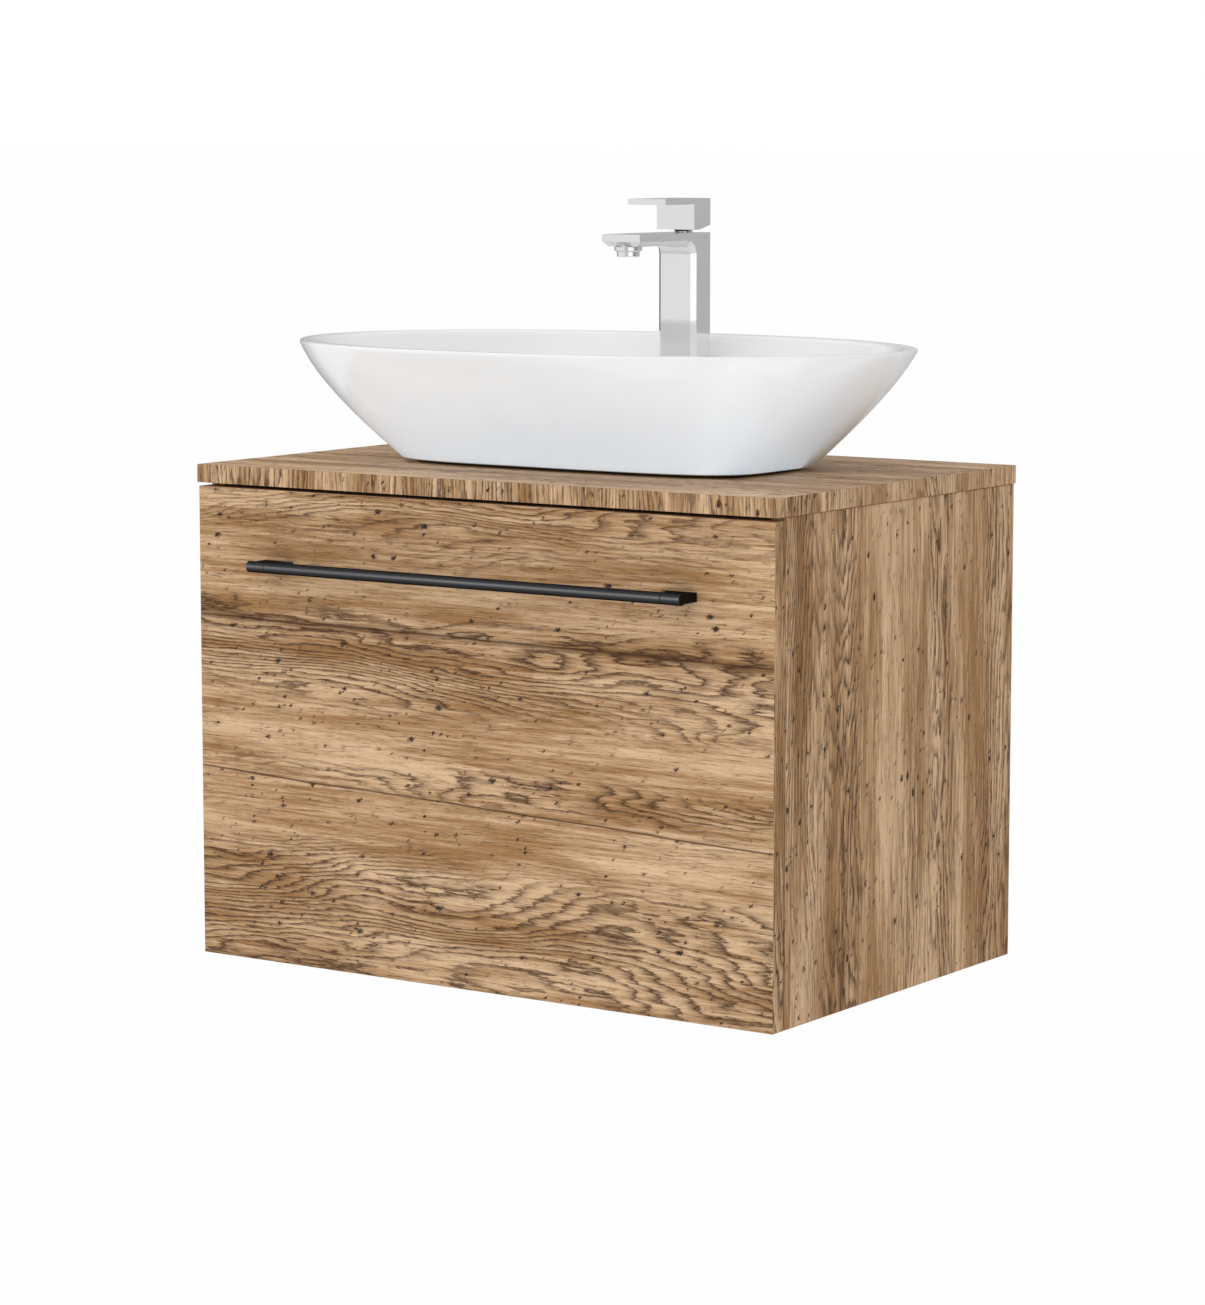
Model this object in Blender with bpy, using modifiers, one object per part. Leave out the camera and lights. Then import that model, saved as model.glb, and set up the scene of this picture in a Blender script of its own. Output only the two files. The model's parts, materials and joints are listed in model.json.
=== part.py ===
"""Wall-hung bathroom vanity with one drawer, a vessel basin and a square single-lever tap.

Metres, +Z up, the front faces -Y. The origin is on the wall, at the middle of the rear face
of the upper back rail. Each object is one physical piece.
"""
import math

import bmesh
import bpy
from mathutils import Matrix, Vector

# Gap kept between pieces that touch, and the cutters' overrun past a face.
TOUCH = 0.0003
OVERRUN = 0.002

# Cabinet boards.
TOP_WIDTH = 0.600
TOP_DEPTH = 0.394
BOARD = 0.016
REVEAL = 0.003
FRONT_HEIGHT = 0.4165
FRONT_INSET = 0.0018
FRONT_GAP = 0.0017
RAIL_HEIGHT = 0.100
LOWER_RAIL_HEIGHT = 0.080
STRETCHER_DEPTH = 0.080
BOARD_EDGE = 0.0007
HOSE_HOLE_RADIUS = 0.013
HOSE_HOLE_Y = -0.127
HANGER_SIZE = (0.018, 0.034, 0.060)
HANGER_SOCKET_RADIUS = 0.003
HANGER_SOCKET_SHARES = (0.3, 0.7)

# Drawer box and its runners.
DRAWER_BOARD = 0.012
DRAWER_HEIGHT = 0.215
DRAWER_FLOOR = 0.008
DRAWER_LIFT = 0.008
DRAWER_BACK_CLEARANCE = 0.020
FLOOR_INSET = 0.010
RUNNER_WIDTH = 0.0124
RUNNER_HEIGHT = 0.045
RUNNER_LENGTH = 0.340
RUNNER_SHEET = 0.0012
RUNNER_SETBACK = 0.002
RUNNER_RISE = 0.060
RUNNER_CLEARANCE = 0.0005
RUNNER_FIXED_LIP = 0.0105
RUNNER_MIDDLE_LIP = 0.0083
RECESS_HALF_WIDTH = 0.060
RECESS_AHEAD = 0.052
RECESS_SHEET = 0.004
RECESS_CORNER = 0.025

# Handle: a round rod between two ends with flat feet.
HANDLE_LENGTH = 0.448
HANDLE_RADIUS = 0.005
HANDLE_AXIS = 0.022
HANDLE_DROP = 0.065
HANDLE_END = 0.0185
HANDLE_FOOT = 0.031
HANDLE_FOOT_HEIGHT = 0.0078
SCREW_RADIUS = 0.002
SCREW_HEAD_RADIUS = 0.004
SCREW_HEAD = 0.0025

# Basin: a straight flared wall from a flat-sided base up to an oval rim.
BASIN_HEIGHT = 0.107
BASE_HALF = (0.181, 0.0895)
RIM_HALF = (0.2966, 0.192)
BASE_CENTRE_Y = -0.1965
RIM_CENTRE_Y = -0.2035
BASE_POWER = 4.4
RIM_POWER = 2.08
WALL = 0.0125
BASE_EDGE = 0.003
LEDGE_Z = 0.085
LEDGE_FRONT_Y = -0.109
LEDGE_THICKNESS = 0.009
FLOOR_THICKNESS = 0.014
BOWL_STEP = 0.0015
BOWL_NARROWING = 0.016
BOWL_BACK_SLOPE = 0.040
BOWL_FLOOR_POWER = 2.7
FLOOR_FILLET = 0.030
BASIN_SEGMENTS = 60
BOWL_STEPS = 8
BOWL_CURVE = 1.6
# Rim, from outside to inside: how far below the top, and how far in from the wall.
RIM_PROFILE = ((0.004, 0.0), (0.0008, 0.0012), (0.0, 0.004), (0.0008, 0.0085), (0.004, 0.0115))
LEDGE_ROUND = (0.002, 0.0005)
# Hollow under the ledge: half its width, and its front and back at the foot and at the top.
CAVITY_HALF = 0.055
CAVITY_FOOT = (-0.137, -0.117)
CAVITY_TOP = (-0.097, -0.052)
DRAIN_RADIUS = 0.023
TAP_HOLE_RADIUS = 0.0175

# Tap: a column with a spout in front, and a lever on top.
TAP_WIDTH = 0.040
TAP_FRONT_Y = -0.087
TAP_BACK_Y = -0.0605
SPOUT_TIP_Y = -0.174
TAP_TOP = 0.200
SPOUT_DEPTH = 0.0107
TAP_CHAMFER = 0.0042
TAP_FILLET = 0.0095
TAP_PLATE = (0.048, 0.046, 0.0025)
GASKET = 0.001
CARTRIDGE_RADIUS = 0.0104
CARTRIDGE_DEPTH = 0.034
CARTRIDGE_NUT = 0.006
POST_RADIUS = 0.0048
POST_DEPTH = 0.006
PIVOT_RISE = 0.008
DOME_RADIUS = 0.0106
LEVER_TIP_Y = -0.133
LEVER_BOTTOM = 0.2026
LEVER_BACK_BOTTOM = 0.2066
LEVER_SLAB_BOTTOM = 0.2251
LEVER_TOP = 0.2304
STEM_HALF = 0.0025
AERATOR_Y = -0.162
AERATOR_RADIUS = 0.010
STUD_RADIUS = 0.003
STUD_Y = -0.0665
PORT_Y = -0.0805
PORT_X = 0.009
PORT_RADIUS = 0.004
PORT_CLEAR_RADIUS = 0.005
FEED_RADIUS = 0.0025
FOOT_SOCKET_DEPTH = 0.014
SPOUT_CHANNEL_RADIUS = 0.003
AERATOR_SEAT = 0.007
AERATOR_SHOULDER = 0.0015
AERATOR_FLANGE = 0.0022
AERATOR_WALL = 0.0018
AERATOR_LENGTH = 0.009
# Outer steps of the aerator below the flange, as heights under the spout.
AERATOR_STEPS = (0.0035, 0.0045, 0.0085)
AERATOR_THREAD = 0.006
AERATOR_INSERT = (-0.0075, 0.004)
JET_COUNT = 6
JET_CIRCLE = 0.0034
JET_RADIUS = 0.0009
GASKET_INSET = 0.0015

# Fixings under the tap ledge.
STUD_BELOW = 0.009
STUD_ABOVE = 0.012
WASHER_THICKNESS = 0.0025
WASHER_Y = -0.075
WASHER_RADIUS = 0.0195
WASHER_SLOT = 0.0130
WASHER_SLOT_AHEAD = 0.015
NUT_RADIUS = 0.0055
NUT_HEIGHT = 0.005

# Lever's inside: stem, the dome's slot for it, the hollow over the dome and the set screw.
STEM_BELOW = 0.001
STEM_ABOVE = 0.017
SLOT_SIDE_PLAY = 0.0005
SLOT_FRONT_PLAY = 0.001
SLOT_BACK = 0.0085
SLOT_BELOW = 0.0035
HOLLOW_GAP = 0.0006
HOLLOW_BELOW = 0.0095
LEVER_NOSE = 0.009
SET_SCREW_RISE = 0.0142
SET_SCREW_RADIUS = 0.002
SET_SCREW_INSET = 0.001

# Waste and bottle trap, below the basin's centre.
DRAIN_Y = BASE_CENTRE_Y
WASTE_RADIUS = 0.0209
WASTE_FLANGE = 0.0106
WASTE_LIP = 0.0022
FLANGE_ROUND = (0.002, 0.0008)
WASTE_WALL = 0.0032
WASTE_NUT_DROP = 0.016
WASTE_NUT_MARGIN = 0.011
# Below the nut: where the outer and inner cones start and end, and the tail's end.
WASTE_CONE = (0.006, 0.009)
WASTE_INNER_CONE = (0.004, 0.012)
WASTE_TAIL = 0.045
UPPER_SEAL = 0.0012
LOWER_SEAL = 0.0045
LOWER_SEAL_WIDTH = 0.010
SEAL_MARGIN = 0.001
TAIL_RADIUS = 0.016
CLICK_RADIUS = 0.009
CLICK_BORE_RADIUS = 0.0045
CLICK_DROP = 0.008
CLICK_RISE = 0.012
CLICK_FOOT = 0.010
CLICK_SEAT = 0.006
BAR_WIDTH = 0.004
PLUG_STEM_RADIUS = 0.004
PLUG_LIP = 0.001
# Plug's domed top, as shares of its radius and heights over the flange.
PLUG_TOP = ((0.0, 0.0048), (0.45, 0.0045), (0.8, 0.0036))
PLUG_EDGE = (0.0024, 0.0012)
OUTLET_DROP = 0.165
TRAP_RADIUS = 0.029
TRAP_SHELL = 0.0025
# Heights are over the outlet's centre.
TRAP_COLLAR_RADIUS = 0.0205
THROAT_PLAY = 0.0022
TRAP_SHOULDER = (0.030, 0.022)
TRAP_INNER_SHOULDER = (0.027, 0.020)
TRAP_HEAD_LOW = -0.024
TRAP_HEAD_TOP = 0.0517
INLET_NUT = (0.025, 0.052, 0.070)
STUB_START = 0.024
STUB_BORE_START = 0.015
STUB_END = 0.050
CUP_TOP = -0.010
CUP_LOW = -0.072
CUP_CORNER = 0.010
CUP_INNER_CORNER = 0.011
CUP_NOTCH = 0.022
CUP_NOTCH_MARGIN = 0.001
DIP_TUBE = (0.0115, 0.0135, -0.052, 0.020)
OUTLET_NUT_RADIUS = 0.024
OUTLET_NUT_LENGTH = 0.016
PIPE_RADIUS = 0.016
PIPE_WALL = 0.002
ROSETTE_RADIUS = 0.035
ROSETTE_SLOPE = 0.004
# Rosette's thickness at its middle, at the end of the slope and at its edge.
ROSETTE_LEVELS = (0.010, 0.006, 0.001)

# Levels and faces that follow from the sizes above.
TOP_Z = RAIL_HEIGHT / 2 + TOUCH + BOARD
CARCASS_TOP = RAIL_HEIGHT / 2
FRONT_Y = -TOP_DEPTH
FRONT_TOP = TOP_Z - BOARD - REVEAL
FRONT_BOTTOM = FRONT_TOP - FRONT_HEIGHT
SIDE_X = TOP_WIDTH / 2 - FRONT_INSET
INNER_X = SIDE_X - BOARD
CARCASS_Y = FRONT_Y + BOARD + FRONT_GAP
DRAWER_X = INNER_X - RUNNER_WIDTH - 2 * TOUCH
DRAWER_BACK_Y = -BOARD - DRAWER_BACK_CLEARANCE
DRAWER_BOTTOM = FRONT_BOTTOM + BOARD + DRAWER_LIFT
DRAWER_TOP = DRAWER_BOTTOM + DRAWER_HEIGHT
FLOOR_TOP = DRAWER_BOTTOM + FLOOR_INSET + DRAWER_FLOOR
RUNNER_Z = DRAWER_BOTTOM + RUNNER_RISE
RECESS_FRONT_Y = DRAIN_Y - RECESS_AHEAD
TAP_Y = (TAP_FRONT_Y + TAP_BACK_Y) / 2
TAP_BASE = TOP_Z + LEDGE_Z + 2 * TOUCH + GASKET + TAP_PLATE[2] + TOUCH
PIVOT_Z = TOP_Z + TAP_TOP + PIVOT_RISE
OUTLET_Z = TOP_Z - OUTLET_DROP

PARTS = "vessel_sink_on_vanity"
CUTTERS = "cutters"


# ---------------------------------------------------------------- tools


def clear_scene():
    """Remove every object and start the two collections."""
    for old in list(bpy.data.objects):
        bpy.data.objects.remove(old, do_unlink=True)
    for name in (PARTS, CUTTERS):
        collection = bpy.data.collections.new(name)
        bpy.context.scene.collection.children.link(collection)
        groups[name] = collection


def finish_material(name, color, roughness, metallic=0.0):
    """A plain Principled material in linear colour."""
    material = bpy.data.materials.new(name)
    material.use_nodes = True
    shader = material.node_tree.nodes["Principled BSDF"]
    shader.inputs["Base Color"].default_value = (*color, 1.0)
    shader.inputs["Roughness"].default_value = roughness
    shader.inputs["Metallic"].default_value = metallic
    return material


def make_materials():
    """The finishes of the whole object, by the name of what they cover."""
    return {
        "wood": finish_material("rustic_oak", (0.45, 0.27, 0.13), 0.55),
        "carcass": finish_material("white_board", (0.75, 0.74, 0.71), 0.5),
        "ceramic": finish_material("white_ceramic", (0.86, 0.86, 0.86), 0.08),
        "chrome": finish_material("polished_chrome", (0.78, 0.78, 0.79), 0.05, 1.0),
        "black": finish_material("black_metal", (0.02, 0.02, 0.022), 0.4, 0.6),
        "zinc": finish_material("zinc_steel", (0.55, 0.56, 0.57), 0.35, 1.0),
        "plastic": finish_material("white_plastic", (0.8, 0.8, 0.8), 0.4),
        "grey": finish_material("grey_plastic", (0.3, 0.31, 0.32), 0.5),
        "rubber": finish_material("black_rubber", (0.03, 0.03, 0.03), 0.8),
        "brass": finish_material("brass", (0.7, 0.5, 0.22), 0.3, 1.0),
    }


def add_object(name, mesh, finish, matrix=None):
    """Put a mesh in the parts collection, or among the cutters when it has no finish."""
    obj = bpy.data.objects.new(name, mesh)
    groups[PARTS if finish else CUTTERS].objects.link(obj)
    if matrix is not None:
        obj.matrix_world = matrix
    if finish:
        # Each piece has a material of its own, copied from its finish.
        own = finishes[finish].copy()
        own.name = name + "_finish"
        mesh.materials.append(own)
    else:
        obj.hide_render = True
        obj.display_type = "WIRE"
    return obj


def box(name, low, high, finish=None, edge=0.0):
    """A block between two corners, with its origin at its centre."""
    low, high = Vector(low), Vector(high)
    bm = bmesh.new()
    bmesh.ops.create_cube(bm, size=1.0, matrix=Matrix.Diagonal((*(high - low), 1.0)))
    mesh = bpy.data.meshes.new(name)
    bm.to_mesh(mesh)
    bm.free()
    obj = add_object(name, mesh, finish, Matrix.Translation((low + high) / 2))
    if edge:
        bevel = obj.modifiers.new("Edge", "BEVEL")
        bevel.width = edge
        bevel.segments = 2
    return obj


def facing(direction):
    """Rotation that turns local +Z to a world direction."""
    return Vector(direction).to_track_quat("Z", "Y").to_matrix().to_4x4()


def rod(name, radius, start, end, finish=None, segments=24):
    """A solid cylinder from one point to another, with its origin at the start."""
    start, end = Vector(start), Vector(end)
    length = (end - start).length
    bm = bmesh.new()
    bmesh.ops.create_cone(
        bm, cap_ends=True, segments=segments, radius1=radius, radius2=radius, depth=length,
        matrix=Matrix.Translation((0, 0, length / 2)),
    )
    mesh = bpy.data.meshes.new(name)
    bm.to_mesh(mesh)
    bm.free()
    mesh.shade_smooth()
    mesh.set_sharp_from_angle(angle=math.radians(40))
    return add_object(name, mesh, finish, Matrix.Translation(start) @ facing(end - start))


def turned(name, profile, place, finish=None, axis=(0, 0, 1), segments=24):
    """Turn a profile of (radius, height) points about an axis through place.

    The profile runs down the outer side, and is closed except along the axis itself.
    """
    mesh = bpy.data.meshes.new(name)
    count = len(profile)
    edges = [(i, (i + 1) % count) for i in range(count)]
    edges = [pair for pair in edges if max(profile[i][0] for i in pair) > 0]
    mesh.from_pydata([(radius, 0, height) for radius, height in profile], edges, [])
    obj = add_object(name, mesh, finish, Matrix.Translation(place) @ facing(axis))
    screw = obj.modifiers.new("Turn", "SCREW")
    screw.steps = screw.render_steps = segments
    screw.use_merge_vertices = True
    screw.merge_threshold = 0.00001
    screw.use_smooth_shade = False
    return obj


def outline(name, points, low, high, finish=None, axes="XY"):
    """A flat outline extruded from low to high along the axis that axes leaves out."""
    curve = bpy.data.curves.new(name, "CURVE")
    curve.dimensions = "2D"
    curve.fill_mode = "BOTH"
    curve.extrude = (high - low) / 2
    spline = curve.splines.new("POLY")
    spline.points.add(len(points) - 1)
    for point, (first, second) in zip(spline.points, points):
        point.co = (first, second, 0, 1)
    spline.use_cyclic_u = True
    flat = bpy.data.objects.new(name, curve)
    groups[CUTTERS].objects.link(flat)
    flat.matrix_world = plane_matrix(axes) @ Matrix.Translation((0, 0, (low + high) / 2))
    bpy.context.view_layer.update()
    mesh = bpy.data.meshes.new_from_object(flat.evaluated_get(bpy.context.evaluated_depsgraph_get()))
    mesh.materials.clear()
    mesh.transform(flat.matrix_world)
    bpy.data.objects.remove(flat)
    weld_outward(mesh)
    return add_object(name, mesh, finish)


def plane_matrix(axes):
    """Rotation that lays a drawn outline in the named plane, its thickness along the rest."""
    first, second = (Vector([float(letter == axis) for letter in "XYZ"]) for axis in axes)
    rest = first.cross(second)
    sign = sum(rest)
    return Matrix((first, second, rest * sign)).transposed().to_4x4()


def weld_outward(mesh):
    """Weld loose caps and turn every face outwards."""
    bm = bmesh.new()
    bm.from_mesh(mesh)
    bmesh.ops.remove_doubles(bm, verts=bm.verts, dist=0.000001)
    bmesh.ops.recalc_face_normals(bm, faces=bm.faces)
    bm.to_mesh(mesh)
    bm.free()


def loft(name, rings, finish=None):
    """Skin rings of equal point counts, from the first to the last, and close both ends."""
    count = len(rings[0])
    bm = bmesh.new()
    rows = [[bm.verts.new(point) for point in ring] for ring in rings]
    for lower, upper in zip(rows, rows[1:]):
        for i in range(count):
            j = (i + 1) % count
            bm.faces.new((lower[i], lower[j], upper[j], upper[i]))
    bm.faces.new(rows[0])
    bm.faces.new(rows[-1])
    bmesh.ops.recalc_face_normals(bm, faces=bm.faces)
    mesh = bpy.data.meshes.new(name)
    bm.to_mesh(mesh)
    bm.free()
    return add_object(name, mesh, finish)


def combine(obj, tool, operation="DIFFERENCE"):
    """Cut or join obj with a tool object from the cutters collection."""
    boolean = obj.modifiers.new(operation.title(), "BOOLEAN")
    boolean.operation = operation
    boolean.solver = "EXACT"
    boolean.object = tool


def arc(centre, radius, start, end, steps):
    """Points along an arc, in degrees, both ends included."""
    angles = [math.radians(start + (end - start) * i / steps) for i in range(steps + 1)]
    return [(centre[0] + radius * math.cos(a), centre[1] + radius * math.sin(a)) for a in angles]


def ring_profile(inner, outer, low, high):
    """Profile of a plain ring, down its outer side and up its bore."""
    return [(outer, high), (outer, low), (inner, low), (inner, high)]


def superellipse(centre_y, half, power, height, count=BASIN_SEGMENTS):
    """Ring of points on a superellipse centred on X = 0, at a height in the world."""
    points = []
    for i in range(count):
        angle = 2 * math.pi * i / count
        cos, sin = math.cos(angle), math.sin(angle)
        x = half[0] * math.copysign(abs(cos) ** (2 / power), cos)
        y = half[1] * math.copysign(abs(sin) ** (2 / power), sin)
        points.append((x, centre_y + y, height))
    return points


# ---------------------------------------------------------------- cabinet


def worktop():
    """Board under the basin, with the holes for the waste and the tap's hoses."""
    low = (-TOP_WIDTH / 2, FRONT_Y, TOP_Z - BOARD)
    top = box("worktop", low, (TOP_WIDTH / 2, 0, TOP_Z), "wood")
    for name, y, radius in (("waste", DRAIN_Y, DRAIN_RADIUS), ("hose", HOSE_HOLE_Y, HOSE_HOLE_RADIUS)):
        low, high = TOP_Z - BOARD - OVERRUN, TOP_Z + OVERRUN
        combine(top, rod(name + "_hole", radius, (0, y, low), (0, y, high)))


def side_panels():
    for name, side in (("left", -1), ("right", 1)):
        xs = sorted((side * SIDE_X, side * INNER_X))
        low = (xs[0], CARCASS_Y, FRONT_BOTTOM)
        box("side_panel_" + name, low, (xs[1], 0, CARCASS_TOP), "wood", BOARD_EDGE)


def inner_boards():
    """Bottom, two back rails and the front stretcher, all between the side panels."""
    half = INNER_X - TOUCH
    bottom_top = FRONT_BOTTOM + BOARD
    box("bottom_panel", (-half, CARCASS_Y, FRONT_BOTTOM), (half, 0, bottom_top), "wood")
    rail_top = bottom_top + TOUCH + LOWER_RAIL_HEIGHT
    box("back_rail_lower", (-half, -BOARD, bottom_top + TOUCH), (half, 0, rail_top), "carcass")
    box("back_rail_upper", (-half, -BOARD, -RAIL_HEIGHT / 2), (half, 0, CARCASS_TOP), "carcass")
    low = (-half, CARCASS_Y, CARCASS_TOP - BOARD)
    box("front_stretcher", low, (half, CARCASS_Y + STRETCHER_DEPTH, CARCASS_TOP), "carcass")


def hangers():
    """Suspension brackets in the top back corners, each with two adjusting screws' sockets."""
    width, depth, height = HANGER_SIZE
    for name, side in (("left", -1), ("right", 1)):
        xs = sorted((side * (INNER_X - TOUCH), side * (INNER_X - TOUCH - width)))
        back = -BOARD - TOUCH
        top = CARCASS_TOP - TOUCH
        low = (xs[0], back - depth, top - height)
        hanger = box("hanger_" + name, low, (xs[1], back, top), "zinc", BOARD_EDGE)
        for i, z in enumerate([top - height * part for part in HANGER_SOCKET_SHARES]):
            start = (sum(xs) / 2, back - depth - OVERRUN, z)
            end = (sum(xs) / 2, back - depth / 2, z)
            radius = HANGER_SOCKET_RADIUS
            combine(hanger, rod(f"hanger_{name}_socket_{i}", radius, start, end, segments=12))


# ---------------------------------------------------------------- drawer


def drawer_front():
    """Front panel with two holes for the handle's screws."""
    low = (-SIDE_X, FRONT_Y, FRONT_BOTTOM)
    front = box("drawer_front", low, (SIDE_X, FRONT_Y + BOARD, FRONT_TOP), "wood", BOARD_EDGE)
    for side in (-1, 1):
        x, z = side * screw_x(), handle_z()
        start, end = (x, FRONT_Y - OVERRUN, z), (x, FRONT_Y + BOARD + OVERRUN, z)
        combine(front, rod(f"handle_hole_{side}", SCREW_RADIUS + TOUCH, start, end, segments=16))


def drawer_box():
    """Sides, floor and the two halves of the back, with the recess for the trap between them."""
    front, back = FRONT_Y + BOARD + TOUCH, DRAWER_BACK_Y
    inner = DRAWER_X - DRAWER_BOARD
    for name, side in (("left", -1), ("right", 1)):
        xs = sorted((side * DRAWER_X, side * inner))
        low = (xs[0], front, DRAWER_BOTTOM)
        box("drawer_side_" + name, low, (xs[1], back, DRAWER_TOP), "carcass", BOARD_EDGE)
        xs = sorted((side * (inner - TOUCH), side * (RECESS_HALF_WIDTH + RECESS_SHEET + TOUCH)))
        low = (xs[0], back - DRAWER_BOARD, FLOOR_TOP + TOUCH)
        box("drawer_back_" + name, low, (xs[1], back, DRAWER_TOP), "carcass", BOARD_EDGE)
    low = (-inner + TOUCH, front, FLOOR_TOP - DRAWER_FLOOR)
    floor = box("drawer_floor", low, (inner - TOUCH, back, FLOOR_TOP), "carcass")
    half = RECESS_HALF_WIDTH + RECESS_SHEET + TOUCH
    notch = recess_path(half, RECESS_FRONT_Y - RECESS_SHEET - TOUCH, back + OVERRUN)
    combine(floor, outline("floor_notch", notch, DRAWER_BOTTOM, FLOOR_TOP + OVERRUN))


def recess_path(half, front, back):
    """U-shaped line around the trap, open at the back, with rounded front corners."""
    radius = RECESS_CORNER + half - RECESS_HALF_WIDTH
    right = arc((half - radius, front + radius), radius, 0, -90, 5)
    left = arc((-half + radius, front + radius), radius, -90, -180, 5)
    return [(half, back), *right, *left, (-half, back)]


def drawer_recess():
    """Moulded U-shaped wall that keeps the drawer's load off the trap."""
    inner = recess_path(RECESS_HALF_WIDTH, RECESS_FRONT_Y, DRAWER_BACK_Y)
    outer_half = RECESS_HALF_WIDTH + RECESS_SHEET
    outer = recess_path(outer_half, RECESS_FRONT_Y - RECESS_SHEET, DRAWER_BACK_Y)
    low = FLOOR_TOP - DRAWER_FLOOR
    outline("drawer_trap_recess", outer + inner[::-1], low, DRAWER_TOP, "grey")


def channel(name, web, lip, half_height, finish):
    """C-section along Y: a web at one X, and flanges that reach to another X."""
    sheet = math.copysign(RUNNER_SHEET, lip - web)
    inner = half_height - RUNNER_SHEET
    points = [
        (web, -half_height), (lip, -half_height), (lip, -inner), (web + sheet, -inner),
        (web + sheet, inner), (lip, inner), (lip, half_height), (web, half_height),
    ]
    section = [(x, RUNNER_Z + z) for x, z in points]
    start = CARCASS_Y + RUNNER_SETBACK
    outline(name, section, start, start + RUNNER_LENGTH, finish, axes="XZ")


def runners():
    """Three nested members on each side: on the panel, in the middle and on the drawer."""
    for name, side in (("left", -1), ("right", 1)):
        wall = INNER_X - TOUCH
        half = RUNNER_HEIGHT / 2
        channel("runner_fixed_" + name, side * wall, side * (wall - RUNNER_FIXED_LIP), half, "zinc")
        web = wall - RUNNER_SHEET - RUNNER_CLEARANCE
        half -= RUNNER_SHEET + RUNNER_CLEARANCE
        channel("runner_middle_" + name, side * web, side * (web - RUNNER_MIDDLE_LIP), half, "zinc")
        half -= RUNNER_SHEET + RUNNER_CLEARANCE
        lip = web - RUNNER_SHEET - RUNNER_CLEARANCE
        channel("runner_inner_" + name, side * (wall - RUNNER_WIDTH), side * lip, half, "zinc")


def handle_z():
    return FRONT_TOP - HANDLE_DROP


def screw_x():
    return HANDLE_LENGTH / 2 - HANDLE_END / 2


def handle():
    """Rod, its two ends with feet on the panel, and the screws through the panel."""
    z = handle_z()
    axis_y = FRONT_Y - HANDLE_AXIS
    tip = HANDLE_LENGTH / 2
    rod_end = tip - HANDLE_END - TOUCH
    rod("handle_rod", HANDLE_RADIUS, (-rod_end, axis_y, z), (rod_end, axis_y, z), "black")
    for name, side in (("left", -1), ("right", 1)):
        start = (side * (tip - HANDLE_END), axis_y, z)
        end = rod("handle_end_" + name, HANDLE_RADIUS, start, (side * tip, axis_y, z), "black")
        contact = FRONT_Y - TOUCH
        clear_y = axis_y + HANDLE_RADIUS + TOUCH
        foot = [
            (side * tip, axis_y), (side * tip, contact), (side * (tip - HANDLE_FOOT), contact),
            (side * (tip - HANDLE_END), clear_y), (side * (tip - HANDLE_END), axis_y),
        ]
        half = HANDLE_FOOT_HEIGHT / 2
        combine(end, outline("handle_foot_" + name, foot, z - half, z + half), "UNION")
        x = side * screw_x()
        socket_end = (x, contact - HANDLE_AXIS / 2, z)
        socket_start = (x, contact + OVERRUN, z)
        hole = rod("handle_socket_" + name, SCREW_RADIUS + TOUCH, socket_start, socket_end, None, 16)
        combine(end, hole)
        shank = BOARD + HANDLE_AXIS / 3
        profile = [
            (0, shank), (SCREW_RADIUS, shank), (SCREW_RADIUS, 0),
            (SCREW_HEAD_RADIUS, 0), (SCREW_HEAD_RADIUS, -SCREW_HEAD), (0, -SCREW_HEAD),
        ]
        place = (x, FRONT_Y + BOARD + TOUCH, z)
        turned("handle_screw_" + name, profile, place, "zinc", (0, -1, 0), 16)


# ---------------------------------------------------------------- basin


def wall_ring(height, inset=0.0, steps=BASIN_SEGMENTS):
    """Ring on the basin's flared wall at a height over the worktop, moved inwards by inset."""
    t = height / BASIN_HEIGHT
    half = [a + (b - a) * t - inset for a, b in zip(BASE_HALF, RIM_HALF)]
    power = BASE_POWER + (RIM_POWER - BASE_POWER) * t
    centre = BASE_CENTRE_Y + (RIM_CENTRE_Y - BASE_CENTRE_Y) * t
    return superellipse(centre, half, power, TOP_Z + TOUCH + height, steps)


def bowl_ring(height, t):
    """Ring of the bowl: t runs from 0 at the flat floor to 1 at the ledge."""
    rim = wall_ring(height, WALL + BOWL_STEP)
    front, reach = min(y for x, y, z in rim), max(x for x, y, z in rim)
    back = LEDGE_FRONT_Y - BOWL_BACK_SLOPE * (1 - t)
    curve = math.sqrt(t * (2 - t))
    front += FLOOR_FILLET * (1 - curve)
    reach -= BOWL_NARROWING + FLOOR_FILLET * (1 - curve)
    half = (reach, (back - front) / 2)
    power = BOWL_FLOOR_POWER + (RIM_POWER - BOWL_FLOOR_POWER) * t
    return superellipse((front + back) / 2, half, power, TOP_Z + TOUCH + height)


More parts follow.
